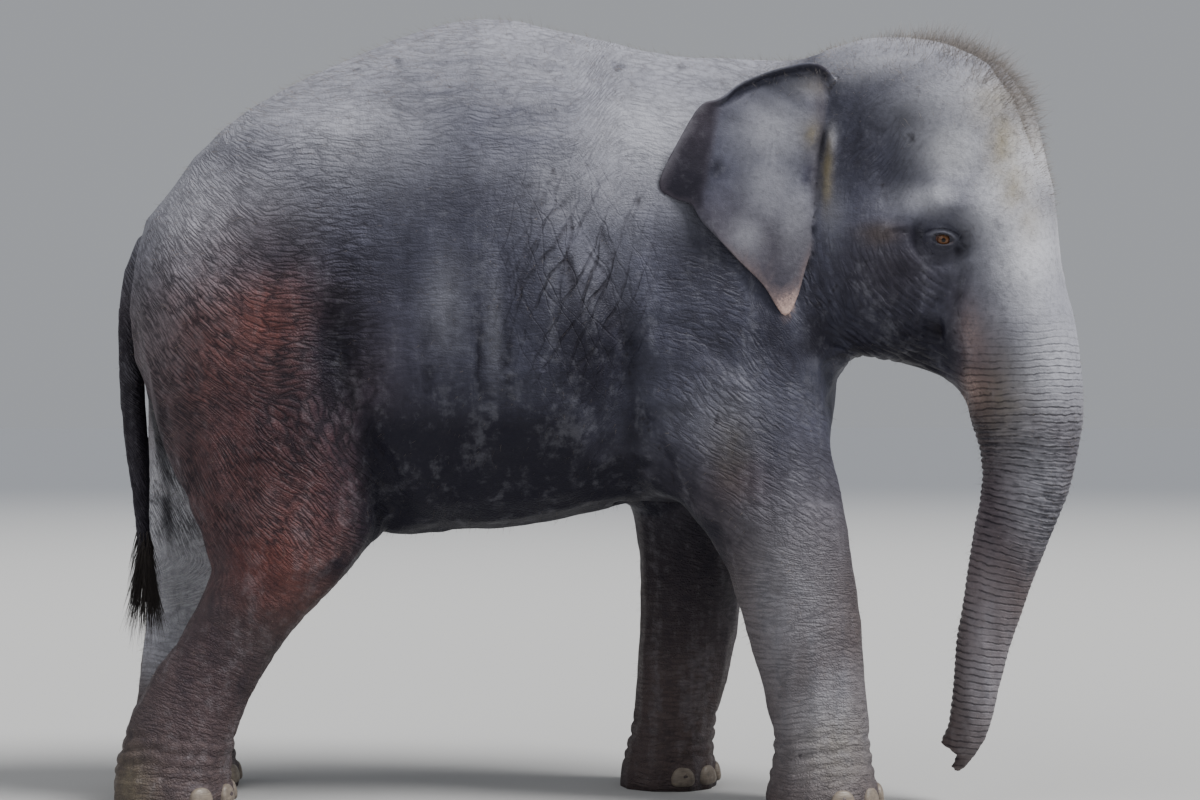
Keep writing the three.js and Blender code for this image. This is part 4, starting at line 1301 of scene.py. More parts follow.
    def cheek_way(self, own: Array) -> Array:
        """Metres counted square to the lines of the cheek, which sweep down and forward."""
        return np.hypot((own[:, 0] - 0.5) * 0.92, own[:, 2] - 1.43) + 0.01 * wander(own, 0.07, 33)

    def cross_way(self, at: Array) -> Array:
        """Metres counted across the lines that run down and back over the ribs.

        Args:
            at: points in the frame, one per row.

        Returns:
            The metres at each point.
        """
        x, _, z = STANCE.body(at).T
        bend = 0.25 * (z - 1.2) ** 2
        drift = 0.018 * wander(at, 0.14, 41)
        return 0.9 * x - 0.42 * z + bend + drift + 0.005 * wander(at, 0.05, 42)

    def counter_way(self, at: Array) -> Array:
        """Metres counted across the lines that run the other way over the ribs."""
        return self.cross_way(at * np.array([-1.0, 1.0, 1.0]))

    def shape_forms(self, mesh: Mesh) -> None:
        """Rounds out the large forms that the facets of the solids leave plain.

        Args:
            mesh: the skin's mesh.
        """
        at, normals = points_of(mesh), normals_of(mesh)
        body, own = STANCE.body(at), STANCE.head(at)
        x, y, z = body.T
        face = (
            (0.385, 0.185, 1.455, 0.075, 0.05, 0.026, 0.013), (0.3, 0.2, 1.34, 0.1, 0.06, 0.03, 0.008),
            (0.25, 0.205, 1.5, 0.075, 0.06, 0.075, -0.012), (0.42, 0.15, 1.33, 0.045, 0.06, 0.06, -0.009),
            (0.13, 0.2, 1.22, 0.12, 0.07, 0.12, 0.006), (0.395, 0.12, 1.13, 0.05, 0.06, 0.09, -0.008),
        )
        flank = (
            (-0.55, 0.33, 1.02, 0.06, 0.12, 0.26, -0.018), (-0.7, 0.33, 1.0, 0.12, 0.12, 0.26, 0.01),
            (0.02, 0.33, 0.95, 0.07, 0.12, 0.18, -0.016), (0.19, 0.3, 0.94, 0.06, 0.1, 0.18, 0.01),
            (-0.53, 0.0, 0.69, 0.08, 0.2, 0.06, 0.026), (-0.37, 0.0, 0.665, 0.08, 0.2, 0.05, -0.016),
            (0.22, 0.3, 1.48, 0.09, 0.12, 0.2, 0.006), (0.02, 0.33, 1.4, 0.07, 0.12, 0.25, -0.007),
            (-0.86, 0.25, 1.56, 0.09, 0.1, 0.1, -0.006),
        )
        height = np.zeros(len(at))
        for rise in (*humps(paired(own), face), *humps(paired(body), flank)):
            height += rise
        height += 0.044 * swell(body, (-1.03, 0.17, 0.93), (0.07, 0.12, 0.26))
        height += 0.008 * swell(body, (-1.06, -0.17, 0.95), (0.05, 0.1, 0.16))
        tail = ramp(-x, 1.07, 1.09) * ramp(np.abs(y), 0.07, 0.05)
        tail = tail * ramp(z, 0.66, 0.85)
        height += 0.014 * tail * ramp(z, 1.3, 1.12) * ramp(normals[:, 0], -0.3, 0.5)
        spine = 0.01 * ramp(z, 1.62, 1.74) * hump(y, 0.035)
        height += spine * ramp(-x, -0.2, 0.0)
        at = at + normals * height[:, None]
        at[at[:, 2] < 0.009, 2] = 0.0
        place(mesh, at)

    def with_ears(self, skin: Piece) -> Piece:
        """Joins the ears to the skin and softens the join; their faces keep the second slot.

        Args:
            skin: the flesh without ears.

        Returns:
            The joined skin.
        """
        blades = [ear.build() for ear in self.ears]
        for mesh in (skin.data, *(blade.data for blade in blades)):
            mesh.materials.clear()
            for slot in ("hide", "blade"):
                mesh.materials.append(bpy.data.materials.get(slot) or bpy.data.materials.new(slot))
            slots = np.full(len(mesh.polygons), 0 if mesh is skin.data else 1, dtype=np.int32)
            mesh.polygons.foreach_set("material_index", slots)
        for blade in blades:
            union = skin.modifiers.new("union", "BOOLEAN")
            union.operation = "UNION"
            union.solver = "MANIFOLD"
            union.object = blade
        joined = settled(skin, "skin")
        for blade in blades:
            bpy.data.objects.remove(blade)
        own = STANCE.head(points_of(joined.data))
        seam = np.zeros(len(own))
        for ear in self.ears:
            back, up, out = ear.local(own)
            root = swell(np.stack([back * 1.6, up * 0.35], axis=1), (-0.055, 0.0), (0.06, 0.1))
            seam = np.maximum(seam, root * (np.abs(out) < 0.09) * (own[:, 1] * ear.side.value > 0.1))
        relax(joined.data, 14, np.clip(seam * 1.3, 0, 1), hold=False)
        log.info("ears joined: %d faces", len(joined.data.polygons))
        return joined

    def blade_share(self, mesh: Mesh) -> Array:
        """1 on the vertices of the ears' faces, fading over the join, and 0 elsewhere.

        Args:
            mesh: the skin's mesh.

        Returns:
            The share of each vertex.
        """
        slots, sizes = (read_out(mesh.polygons, name, 1)[:, 0] for name in ("material_index", "loop_total"))
        corners = read_out(mesh.loops, "vertex_index", 1)[:, 0]
        total = np.bincount(corners, weights=np.repeat(slots, sizes), minlength=len(mesh.vertices))
        share = (total / np.maximum(np.bincount(corners, minlength=len(mesh.vertices)), 1))[:, None]
        for _ in range(3):
            share = 0.4 * share + 0.6 * means(share, edges_of(mesh))
        return ramp(share[:, 0], 0.25, 0.75)

    def near_head(self, at: Array) -> Array:
        """Which places are on the head or the trunk and need a finer mesh.

        Args:
            at: points in the frame, one per row.

        Returns:
            A flag for each point.
        """
        own = STANCE.head(at)
        x, y, z = own.T
        face = (x > 0.1) & (z > 1.0) & (z < 1.62) & (np.abs(y) < 0.24)
        return face | (self.trunk_share(own) > 0.2)

    def near_eyes(self, at: Array, reach: float) -> Array:
        """Which places are within reach of an eye's opening.

        Args:
            at: points in the frame, one per row.
            reach: how far from the pupil, in metres.

        Returns:
            A flag for each point.
        """
        found = np.zeros(len(at), dtype=bool)
        for eye in self.eyes:
            fore, up, out = eye.local(at)
            found |= (np.hypot(fore, up) < reach) & (np.abs(out) < 0.06)
        return found

    def refine(self, skin: Piece, chosen: object) -> None:
        """Halves the edges of the mesh where a test on places says so.

        Args:
            skin: the skin's object.
            chosen: the test, which flags places.
        """
        bm = bmesh.new()
        bm.from_mesh(skin.data)
        flags = chosen(np.array([vertex.co[:] for vertex in bm.verts]))
        edges = [edge for edge in bm.edges if flags[edge.verts[0].index] and flags[edge.verts[1].index]]
        bmesh.ops.subdivide_edges(bm, edges=edges, cuts=1, use_grid_fill=True, smooth=0.0)
        bmesh.ops.triangulate(bm, faces=[face for face in bm.faces if len(face.verts) > 4])
        bm.to_mesh(skin.data)
        bm.free()

    def thinned(self, skin: Piece) -> Piece:
        """Drops faces where the skin is plain, down to the most that the piece may have.

        Args:
            skin: the skin's object.

        Returns:
            The thinned skin.
        """
        count = sum(len(face.vertices) - 2 for face in skin.data.polygons)
        thin = skin.modifiers.new("thin", "DECIMATE")
        thin.ratio = min(1.0, self.most_faces / count)
        log.info("skin before thinning: %d triangles", count)
        return settled(skin, "skin")

    def line_shares(self, at: Array, normals: Array) -> Array:
        """How strongly the lines, the cross lines, the small cells and the fine grain show.

        Args:
            at: points in the frame, one per row.
            normals: the skin's normals there.

        Returns:
            Four shares for each point.
        """
        body, own = STANCE.body(at), STANCE.head(at)
        x, z = body[:, 0], body[:, 2]
        trunk, head = self.trunk_share(own), head_share(own)
        ear = self.ear_share(own)
        side = ramp(np.abs(normals[:, 1]), 0.15, 0.55)
        legs = ramp(z, 0.8, 0.6) * (1 - trunk) * (1 - head)
        rings = np.maximum(0.12 * trunk, legs * 0.46)
        haunch = ramp(-x, 0.44, 0.6) * ramp(z, 0.5, 0.7) * ramp(z, 1.86, 1.6)
        haunch = haunch * (1 - 0.45 * ramp(z, 1.22, 1.5))
        shoulder = ramp(x, 0.05, 0.2) * ramp(z, 0.55, 0.7) * ramp(z, 1.5, 1.25)
        cheek = head * ramp(own[:, 2], 1.44, 1.3) * (1 - trunk) * 0.6
        cheek = cheek * ramp(own[:, 0], 0.36, 0.27)
        temple = 0.5 * swell(own * np.array([1, 0, 1]), (0.2, 0, 1.58), (0.1, 1, 0.12)) * head
        flank = np.maximum(haunch, 0.48 * shoulder) * (1 - head) * side
        lines = np.max([rings, flank, cheek, temple], axis=0)
        lines = lines * (1 - 2.6 * np.clip(head * (1 - head) * (1 - trunk), 0, 0.25))
        spine = (0.22 + 0.2 * ramp(z, 1.4, 1.7)) * (1 - head) * (1 - trunk)
        cross = swell(body * np.array([1, 0, 1]), (-0.06, 0, 1.27), (0.16, 1.0, 0.24)) * side * 0.95
        cross = np.maximum(cross, 0.25 * haunch * side * ramp(z, 1.25, 1.0)) * (1 - head) * (1 - trunk)
        cells = 0.34 + 0.5 * np.maximum(legs, np.maximum(haunch, 0.4 * cross))
        cells = cells * (1 - 0.5 * trunk) * (1 - 0.65 * head)
        thin = 0.6 + 0.4 * head
        shares = np.stack([np.maximum(lines, spine), cross, cells, thin], axis=1)
        return np.clip(shares, 0, 1) * (1 - np.array([0.95, 1.0, 0.75, 0.2]) * ear[:, None])

    def shape_folds(self, mesh: Mesh) -> None:
        """Sinks the folds and rings that are deep enough to cast a shadow.

        Args:
            mesh: the skin's mesh.
        """
        at, normals = points_of(mesh), normals_of(mesh)
        body, own = STANCE.body(at), STANCE.head(at)
        hx, _, hz = own.T
        skin = 1.0 - self.ear_share(own)
        lines, cross, _, _ = self.line_shares(at, normals).T
        trunk, head = self.trunk_share(own), head_share(own)
        way = self.line_way(at)
        under = ramp(-(normals @ STANCE.ahead), 0.1, 0.8)
        ring = trunk * ramp(hz, 1.26, 0.94)
        deep = 0.0012 + 0.0016 * ramp(hz, 0.1, 0.9) + 0.0034 * under
        height = -ring * deep * (furrow(way / RING_GAP, 1.5) - 0.4) * (0.75 + 0.25 * wander(at, 0.05, 54))
        break_up = 0.5 + 0.5 * wander(at, 0.075, 52)
        main = way / self.fold_gap
        body_lines = lines * skin * (1 - trunk) * (1 - head)
        body_lines = body_lines * (1 - 0.75 * ramp(body[:, 0], -0.1, 0.1))
        height -= 0.0046 * body_lines * furrow(main, 2.2) * break_up
        jowl = head * skin * (1 - trunk) * ramp(hx, 0.4, 0.33) * ramp(hz, 1.4, 1.28)
        height -= 0.0056 * jowl * furrow(self.cheek_way(own) / 0.0175, 1.5) * (0.45 + 0.55 * break_up)
        slant = self.cross_way(at) / self.fold_gap
        height -= 0.0045 * cross * skin * furrow(slant, 2.2) * (0.35 + 0.65 * break_up)
        counter = self.counter_way(at) / (self.fold_gap * 1.15)
        height -= 0.0016 * cross * skin * furrow(counter, 2.4) * (1 - 0.6 * break_up)
        height += 0.0032 * wander(at, 0.11, 53) * skin * (1 - head) * (1 - trunk)
        height += 0.0014 * wander(at, 0.035, 55) * skin * (1 - trunk)
        height += self.body_creases(body, own)
        at = at + normals * height[:, None] + self.head_creases(own)
        place(mesh, at)

    def ease(self, mesh: Mesh) -> None:
        """Softens the few places where creases and masses meet too sharply.

        Args:
            mesh: the skin's mesh.
        """
        at = points_of(mesh)
        body, own = STANCE.body(at), STANCE.head(at)
        joins = (
            (0.21, -0.2, 0.77, 0.07, 0.14, 0.07, 1.0), (0.18, 0.18, 0.78, 0.16, 0.14, 0.1, 1.0),
            (-0.52, 0.22, 0.72, 0.12, 0.16, 0.09, 1.0),
        )
        jaw = humps(paired(own), ((0.02, 0.19, 1.14, 0.06, 0.07, 0.06, 1.0),))
        share = np.concatenate([humps(body, joins), jaw]).max(axis=0)
        relax(mesh, 24, np.clip(share * 1.4, 0, 1) * (1 - self.on_blade), hold=False)

    def body_creases(self, body: Array, own: Array) -> Array:
        """The long creases of the flank, elbow, shoulder and ankles, as a height.

        Args:
            body: points measured from the body's middle.
            own: points in the head's frame.

        Returns:
            The height at each point.
        """
        x, y, z = body.T
        height = np.zeros(len(body))
        seen = body[:, [0, 2]]
        away = 1.0 - head_share(own)
        for stops, width, depth, lip in (
            ([(-0.64, 1.17), (-0.636, 1.08), (-0.615, 0.97), (-0.58, 0.87), (-0.535, 0.79), (-0.5, 0.72)],
             0.045, 0.024, 0.15),
            ([(-0.668, 1.02), (-0.65, 0.94), (-0.61, 0.85), (-0.558, 0.77)], 0.014, 0.006, 0.35),
            ([(-0.6, 1.1), (-0.585, 1.0), (-0.55, 0.9), (-0.5, 0.82)], 0.015, 0.006, 0.3),
            ([(0.076, 1.12), (0.06, 1.06), (0.076, 1.0), (0.128, 0.89), (0.16, 0.83), (0.176, 0.79)],
             0.02, 0.015, 0.15),
            ([(0.052, 1.02), (0.062, 0.95), (0.09, 0.89), (0.12, 0.83)], 0.012, 0.006, 0.3),
            ([(0.072, 1.13), (0.135, 1.165), (0.215, 1.15), (0.33, 1.06)], 0.022, 0.004, 0.2),
            ([(-0.1, 1.54), (-0.055, 1.44), (0.0, 1.32), (0.048, 1.18), (0.08, 1.06)], 0.04, 0.01, 0.2),
            ([(0.02, 1.1), (0.03, 1.0), (0.06, 0.9), (0.1, 0.82)], 0.013, 0.006, 0.3),
            ([(0.48, 1.1), (0.445, 1.02), (0.42, 0.95), (0.4, 0.88)], 0.022, 0.006, 0.2),
        ):
            gap = reach_to(seen, smooth_path(stops))
            near = hump(gap, width) - lip * hump(gap - 2.0 * width, width)
            left = 0.0 if stops[-1][0] > 0.09 else ramp(z, 0.78, 0.92)
            near = depth * near * away * ramp(np.abs(y), 0.06, 0.16)
            height -= near * np.where(y > 0, left, 1.0)
        ankle = ramp(z, 0.24, 0.2) * (1 - self.trunk_share(own))
        level = z + 0.01 * np.sin(x * 19.0) + 0.006 * wander(body, 0.06, 61)
        for at_height, depth in ((0.08, 0.004), (0.108, 0.005), (0.142, 0.006), (0.176, 0.004)):
            height -= ankle * depth * hump(level - at_height, 0.0065)
        return height

    def head_creases(self, own: Array) -> Array:
        """The creases of the mouth, cheek, temple and ear canal, as offsets towards the median.

        Args:
            own: the skin's points in the head's frame.

        Returns:
            The offsets in the frame.
        """
        seen = own[:, [0, 2]]
        shift = np.zeros((len(own), 3))
        for side in Side:
            face = ramp(own[:, 1] * side.value, 0.05, 0.1)
            sunk = np.zeros(len(own))
            for stops, width, depth, lip in (
                ([(0.412, 1.3), (0.402, 1.24), (0.394, 1.18), (0.387, 1.12), (0.383, 1.06)],
                 0.012, 0.009, 0.4),
                ([(0.352, 1.235), (0.325, 1.19), (0.313, 1.135), (0.33, 1.085), (0.365, 1.045)],
                 0.008, 0.006, 0.4),
                ([(0.322, 1.265), (0.29, 1.21), (0.274, 1.145), (0.288, 1.08)], 0.009, 0.0035, 0.4),
                ([(0.35, 1.32), (0.3, 1.275), (0.258, 1.215), (0.236, 1.14)], 0.009, 0.0025, 0.3),
                ([(0.398, 1.24), (0.376, 1.18), (0.37, 1.12), (0.374, 1.06)], 0.008, 0.005, 0.4),
                ([(0.325, 1.388), (0.29, 1.394), (0.258, 1.39)], 0.007, 0.0025, 0.5),
                ([(0.315, 1.404), (0.28, 1.414), (0.25, 1.414)], 0.007, 0.002, 0.4),
                ([(0.15, 1.72), (0.156, 1.64), (0.15, 1.57)], 0.013, 0.0018, 0.3),
                ([(0.19, 1.68), (0.196, 1.6), (0.184, 1.52)], 0.011, 0.0018, 0.3),
                ([(0.228, 1.66), (0.235, 1.58), (0.222, 1.51)], 0.01, 0.0015, 0.3),
            ):
                gap = reach_to(seen, smooth_path(stops))
                sunk += depth * (hump(gap, width) - lip * hump(gap - 2.2 * width, width))
            sunk += 0.026 * swell(seen, (0.336, 1.16), (0.02, 0.024))
            sunk -= 0.008 * swell(seen, (0.32, 1.195), (0.024, 0.014))
            sunk -= 0.006 * swell(seen, (0.362, 1.165), (0.01, 0.04))
            canal = smooth_path([(0.074, 1.64), (0.06, 1.59), (0.05, 1.53), (0.054, 1.455)])
            ridge = smooth_path([(0.082, 1.65), (0.098, 1.6), (0.096, 1.53), (0.088, 1.47)])
            canal, ridge = reach_to(seen, canal), reach_to(seen, ridge)
            tapered = ramp(seen[:, 1], 1.43, 1.53) * ramp(seen[:, 1], 1.68, 1.6)
            sunk += (0.017 * hump(canal, 0.017) - 0.009 * hump(ridge, 0.012)) * tapered
            shift -= (face * sunk)[:, None] * STANCE.turned(np.array([[0.0, side.value, 0.0]]))
        nostril = np.zeros(len(own))
        for across in (-0.011, 0.011):
            nostril += swell(own, (0.333, across, 0.13), (0.011, 0.0075, 0.011))
        return shift + 0.016 * nostril[:, None] * STANCE.turned(np.array([[0.45, 0.0, 0.9]]))

    def ear_share(self, own: Array) -> Array:
        """1 on the ears' blades and 0 elsewhere, with a soft edge at the root."""
        return np.max([ear.share(own)[0] for ear in self.ears], axis=0) * self.on_blade

    def mark(self, mesh: Mesh) -> None:
        """Keeps on the mesh what the finish reads: line coordinates, shares, marks and tints.

        Args:
            mesh: the skin's mesh.
        """
        at, normals, edges = points_of(mesh), normals_of(mesh), edges_of(mesh)
        keep_floats(mesh, "line_way", self.line_way(at))
        keep_floats(mesh, "cross_way", self.cross_way(at))
        keep_floats(mesh, "counter_way", self.counter_way(at))
        own = STANCE.head(at)
        keep_floats(mesh, "line_share", self.line_shares(at, normals))
        keep_floats(mesh, "ring_share", self.trunk_share(own) * ramp(own[:, 2], 1.34, 0.94))
        marks, tints = Markings(self.ears).at(at, normals, self.on_blade)
        # painted shade: where the mesh curves inward, the recess-shade share rises
        sunk = ((means(at, edges) - at) * normals).sum(axis=1)
        sunk = means(means(sunk[:, None], edges), edges)[:, 0]
        reach = np.linalg.norm(at[edges[:, 0]] - at[edges[:, 1]], axis=1)
        spacing = np.bincount(edges[:, 0], weights=reach, minlength=len(at))
        spacing = spacing / np.maximum(np.bincount(edges[:, 0], minlength=len(at)), 1)
        tints[:, 2] = np.clip(ramp(sunk / np.maximum(spacing, 0.001), 0.06, 0.26) + tints[:, 2], 0, 1)
        for eye in self.eyes:
            fore, up, out = eye.local(at)
            rho = eye.almond(fore, up)
            wet = hump(rho - 1.0, 0.1) * ramp(-up, 0.0, 0.003) * (out > 0)
            marks[:, 1] = np.maximum(marks[:, 1], 0.12 * wet * ramp(fore, -0.004, 0.016))
            marks[:, 2] *= 1 - 0.3 * wet
            lid = hump(rho - 1.42, 0.26) * ramp(up, 0.0, 0.008) * (np.abs(out) < 0.06)
            marks[:, 3] = np.maximum(marks[:, 3], 0.26 * lid)
            marks[:, 2] *= 1 - 0.65 * lid
            # painted shade: a dark band in the crease above the upper lid
            crease = hump(rho - 2.0, 0.2) * ramp(up, 0.0, 0.01) * (np.abs(out) < 0.06)
            marks[:, 2] = np.maximum(marks[:, 2], 0.9 * crease)
        keep_floats(mesh, "marks", marks)
        keep_floats(mesh, "tints", tints)


@dataclass
class Markings:
    """The markings that skin and hair share, painted light and shade among them."""

    ears: list[Ear]

    def spots(self, where: Array, *places: tuple[float, ...]) -> Array:
        """The strongest of a few humps at each point, each a centre, a reach and a strength."""
        return humps(where, places).max(axis=0)

    def at(self, at: Array, normals: Array, on_blade: Array) -> tuple[Array, Array]:
        """Works the markings out for points on the skin.

        Args:
            at: points in the frame.
            normals: the skin's normals there.
            on_blade: 1 where the skin is an ear's.

        Returns:
            Rust, pink, dark (dark skin and painted shade) and light (pale skin and painted light) shares;
            then brown, painted highlight, painted shade of hollows and olive shares.
        """
        body, own = STANCE.body(at), STANCE.head(at)
        ear = np.max([ear.share(own)[0] for ear in self.ears], axis=0) * on_blade
        head = head_share(own) * (1 - ear)
        on_body = self.body_marks(body, normals) * ((1 - head) * (1 - ear))[:, None]
        on_head = self.head_marks(own, normals) * (1 - ear)[:, None]
        total = np.maximum(on_body, on_head)
        for one in self.ears:
            share, face, gap = one.share(own)
            share = share * on_blade
            total = total * (1 - share)[:, None] + self.ear_marks(one, own, face, gap) * share[:, None]
        return np.clip(total[:, :4], 0, 1), np.clip(total[:, 4:], 0, 1)

    def body_marks(self, body: Array, normals: Array) -> Array:
        """The eight shares on the trunk of the body, the legs and the tail.

        Args:
            body: points measured from the body's middle.
            normals: the skin's normals there.

        Returns:
            Rust, pink, dark (with painted shade), light (with painted light), brown, painted highlight,
            painted shade of hollows and olive for each point.
        """
        x, z = body[:, 0], body[:, 2]
        flank = body[:, [0, 2]]
        up, down = np.maximum(normals[:, 2], 0), np.maximum(-normals[:, 2], 0)
        inward = ramp(-body[:, 1] * np.sign(normals[:, 1]), -0.02, 0.06)
        inward = inward * ramp(np.abs(normals[:, 1]), 0.05, 0.9)
        rust = self.spots(
            flank,
            (-0.805, 1.18, 0.14, 0.13, 0.72), (-0.88, 1.1, 0.18, 0.26, 0.52), (-0.8, 0.9, 0.22, 0.28, 0.56),
            (-0.785, 0.61, 0.13, 0.13, 0.8), (-0.7, 0.74, 0.16, 0.22, 0.56), (-0.92, 0.72, 0.12, 0.26, 0.36),
            (0.33, 0.8, 0.06, 0.05, 0.16), (-0.96, 0.36, 0.14, 0.22, 0.2),
        )
        # painted shade: the lower flank between the legs darker
        low_flank_shade = ramp(z, 1.1, 0.9) * ramp(-x, -0.06, 0.08) * ramp(x, -0.66, -0.54)
        # dark spots: dark skin, and painted shadow along the flank fold, behind the arm and on the neck
        dark = self.spots(
            flank,
            (-0.34, 0.92, 0.34, 0.18, 0.78), (-0.02, 1.08, 0.15, 0.22, 0.95), (-0.63, 1.09, 0.1, 0.24, 1.0),
            (-0.22, 1.18, 0.22, 0.18, 0.36), (0.08, 0.92, 0.045, 0.13, 0.85), (0.17, 0.78, 0.06, 0.09, 0.75),
            (0.44, 1.2, 0.09, 0.17, 0.95), (0.27, 1.1, 0.24, 0.18, 0.45), (-0.56, 1.24, 0.12, 0.12, 0.38),
            (0.2, 1.26, 0.16, 0.09, 0.3), (0.33, 0.86, 0.18, 0.18, 0.5), (-0.62, 0.82, 0.07, 0.16, 0.6),
            (-0.78, 1.33, 0.18, 0.07, 0.58), (-0.72, 0.94, 0.22, 0.2, 0.62), (-0.94, 0.38, 0.2, 0.26, 0.52),
            (-0.42, 1.3, 0.26, 0.12, 0.3), (-0.38, 1.46, 0.34, 0.085, 0.46), (-0.53, 1.55, 0.15, 0.09, 0.34),
            (-0.86, 0.56, 0.12, 0.13, 0.45), (0.24, 1.33, 0.13, 0.11, 0.58),
            (-0.285, 1.08, 0.013, 0.18, 1.0), (-0.218, 1.06, 0.014, 0.2, 1.0),
            (-0.405, 1.05, 0.018, 0.16, 0.9), (-0.345, 1.18, 0.01, 0.14, 0.55),
        )
        inside = np.clip(2.4 * inward, 0, 1)
        hidden = inside * ramp(z, 0.95, 0.8)
        reddened = swell(flank, (-0.8, 1.18), (0.13, 0.12))
        dark = np.maximum(dark, low_flank_shade) * (1 - hidden) * (1 - 0.35 * reddened)
        # painted shade: downward-facing undersides darker
        belly = 1.1 * ramp(down, 0.15, 0.7) * ramp(z, 1.15, 0.95) * ramp(z, 0.5, 0.62)
        # painted shade: inward-facing faces of the forelegs darker
        inner = 0.6 * inward * ramp(z, 0.95, 0.75) * ramp(z, 0.2, 0.5) * ramp(x, -0.6, -0.4)
        tail = 0.8 * ramp(-x, 1.06, 1.1) * ramp(z, 1.36, 1.1) * ramp(z, 0.45, 0.55)
        tail = tail * ramp(np.abs(body[:, 1]), 0.085, 0.055)
        # painted shadow: a dark line down the near thigh's rear edge
        thigh_edge_shadow = 0.65 * ramp(-normals[:, 0], 0.7, 0.95) * ramp(-x, 0.8, 0.9) * ramp(z, 0.5, 0.62)
        thigh_edge_shadow = thigh_edge_shadow * ramp(z, 1.12, 0.98) * (body[:, 1] < 0) * ramp(x, -1.1, -1.06)
        dark = np.max([dark, belly, inner, tail, thigh_edge_shadow], axis=0)
        rust = rust * (1 - 0.8 * inward)
        # painted light: upward-facing places of the upper body paler
        light = 0.7 * ramp(up, 0.15, 0.85) * ramp(z, 1.15, 1.6)
        # pale spots: painted light on the back, shoulder and rump, and pale dust on the forelegs
        spots = self.spots(
            flank,
            (0.13, 1.64, 0.24, 0.19, 0.85), (0.0, 1.52, 0.2, 0.14, 0.55), (-0.62, 1.65, 0.26, 0.17, 0.74),
            (-0.98, 1.44, 0.18, 0.2, 0.92), (-1.04, 1.2, 0.08, 0.14, 0.34), (-0.2, 1.56, 0.22, 0.09, 0.25),
            (-0.86, 1.5, 0.22, 0.13, 0.62), (-0.02, 1.34, 0.1, 0.14, 0.22), (-0.365, 1.22, 0.05, 0.12, 0.34),
            (-0.25, 1.16, 0.02, 0.14, 0.34), (0.46, 0.5, 0.12, 0.26, 0.5), (0.54, 0.22, 0.12, 0.16, 0.62),
            (0.3, 0.95, 0.12, 0.1, 0.22), (-0.98, 0.35, 0.14, 0.22, 0.1),
        )
        # painted light: inward-facing faces of the hind legs, in the body's shade, painted pale
        painted_hind_inner_light = inside * ramp(-x, 0.6, 0.8) * ramp(z, 1.0, 0.8) * ramp(z, 0.2, 0.4)
        light = np.max([light, painted_hind_inner_light, spots], axis=0)
        brown = ramp(z, 1.0, 0.45) * 0.95
        brown = np.max([brown, 0.85 * rust, 0.62 * ramp(-x, 0.55, 0.75) * ramp(z, 1.42, 1.15)], axis=0)
        # painted light: the far hind leg's inward face, in the body's shade, painted pale
        painted_light = 0.52 * inside * ramp(-x, 0.85, 0.95) * ramp(z, 1.0, 0.8) * ramp(z, 0.35, 0.5)
        painted_light = painted_light * (body[:, 1] > 0)
        olive = self.spots(
            flank,
            (-1.13, 0.06, 0.06, 0.08, 0.45), (0.56, 0.16, 0.08, 0.1, 0.3), (0.31, 0.86, 0.05, 0.1, 0.3),
        )
        none = np.zeros(len(x))
        return np.stack([rust, none, dark, light, brown, painted_light, none, olive], axis=1)

    def head_marks(self, own: Array, normals: Array) -> Array:
        """The eight shares on the head and trunk.

        Args:
            own: points in the head's frame.
            normals: the skin's normals there.

        Returns:
            The same eight for each point.
        """
        face = paired(own)
        x, y, z = face.T
        up, down = np.maximum(normals[:, 2], 0), np.maximum(-normals[:, 2], 0)
        here = ramp(x, 0.16, 0.24) * ramp(y, 0.24, 0.2)
        here = np.maximum(here, ramp(x, 0.0, 0.06) * ramp(z, 1.05, 1.12))
        far = 0.5
        # dark spots: dark skin round the eye and on the temple, and painted shade below the cheek, along the
        # jaw, between jaw and neck and behind the ear's front edge
        dark = self.spots(
            face,
            (0.374, 0.2, 1.36, 0.044, far, 0.036, 0.74), (0.374, 0.2, 1.352, 0.064, far, 0.05, 0.55),
            (0.285, 0.2, 1.392, 0.07, far, 0.02, 0.45), (0.222, 0.2, 1.385, 0.036, far, 0.022, 0.5),
            (0.17, 0.2, 1.6, 0.08, far, 0.15, 0.62), (0.225, 0.2, 1.57, 0.075, far, 0.12, 0.4),
            (0.17, 0.2, 1.72, 0.12, far, 0.07, 0.36), (0.22, 0.2, 1.2, 0.18, far, 0.17, 0.66),
            (0.398, 0.2, 1.346, 0.016, far, 0.018, 0.8), (0.25, 0.2, 1.1, 0.16, far, 0.05, 1.0),
            (0.338, 0.2, 1.155, 0.02, far, 0.028, 1.2), (0.27, 0.2, 1.13, 0.14, far, 0.085, 0.95),
            (0.345, 0.2, 1.12, 0.045, far, 0.075, 1.0), (0.23, 0.2, 1.27, 0.13, far, 0.08, 0.6),
            (0.38, 0.2, 1.25, 0.05, far, 0.06, 0.45), (0.07, 0.2, 1.14, 0.05, far, 0.15, 1.0),
            (0.054, 0.2, 1.555, 0.016, far, 0.075, 0.75), (0.055, 0.2, 1.4, 0.014, far, 0.14, 0.9),
            (0.27, 0.2, 1.66, 0.06, far, 0.04, 0.4),
        )
        # painted shade: downward-facing throat and jaw darker
        throat = 1.1 * ramp(down, 0.2, 0.8) * ramp(z, 1.22, 1.12) * ramp(x, 0.36, 0.3)
        throat = throat * ramp(z, 0.95, 1.0)
        dark = np.maximum(dark, throat)
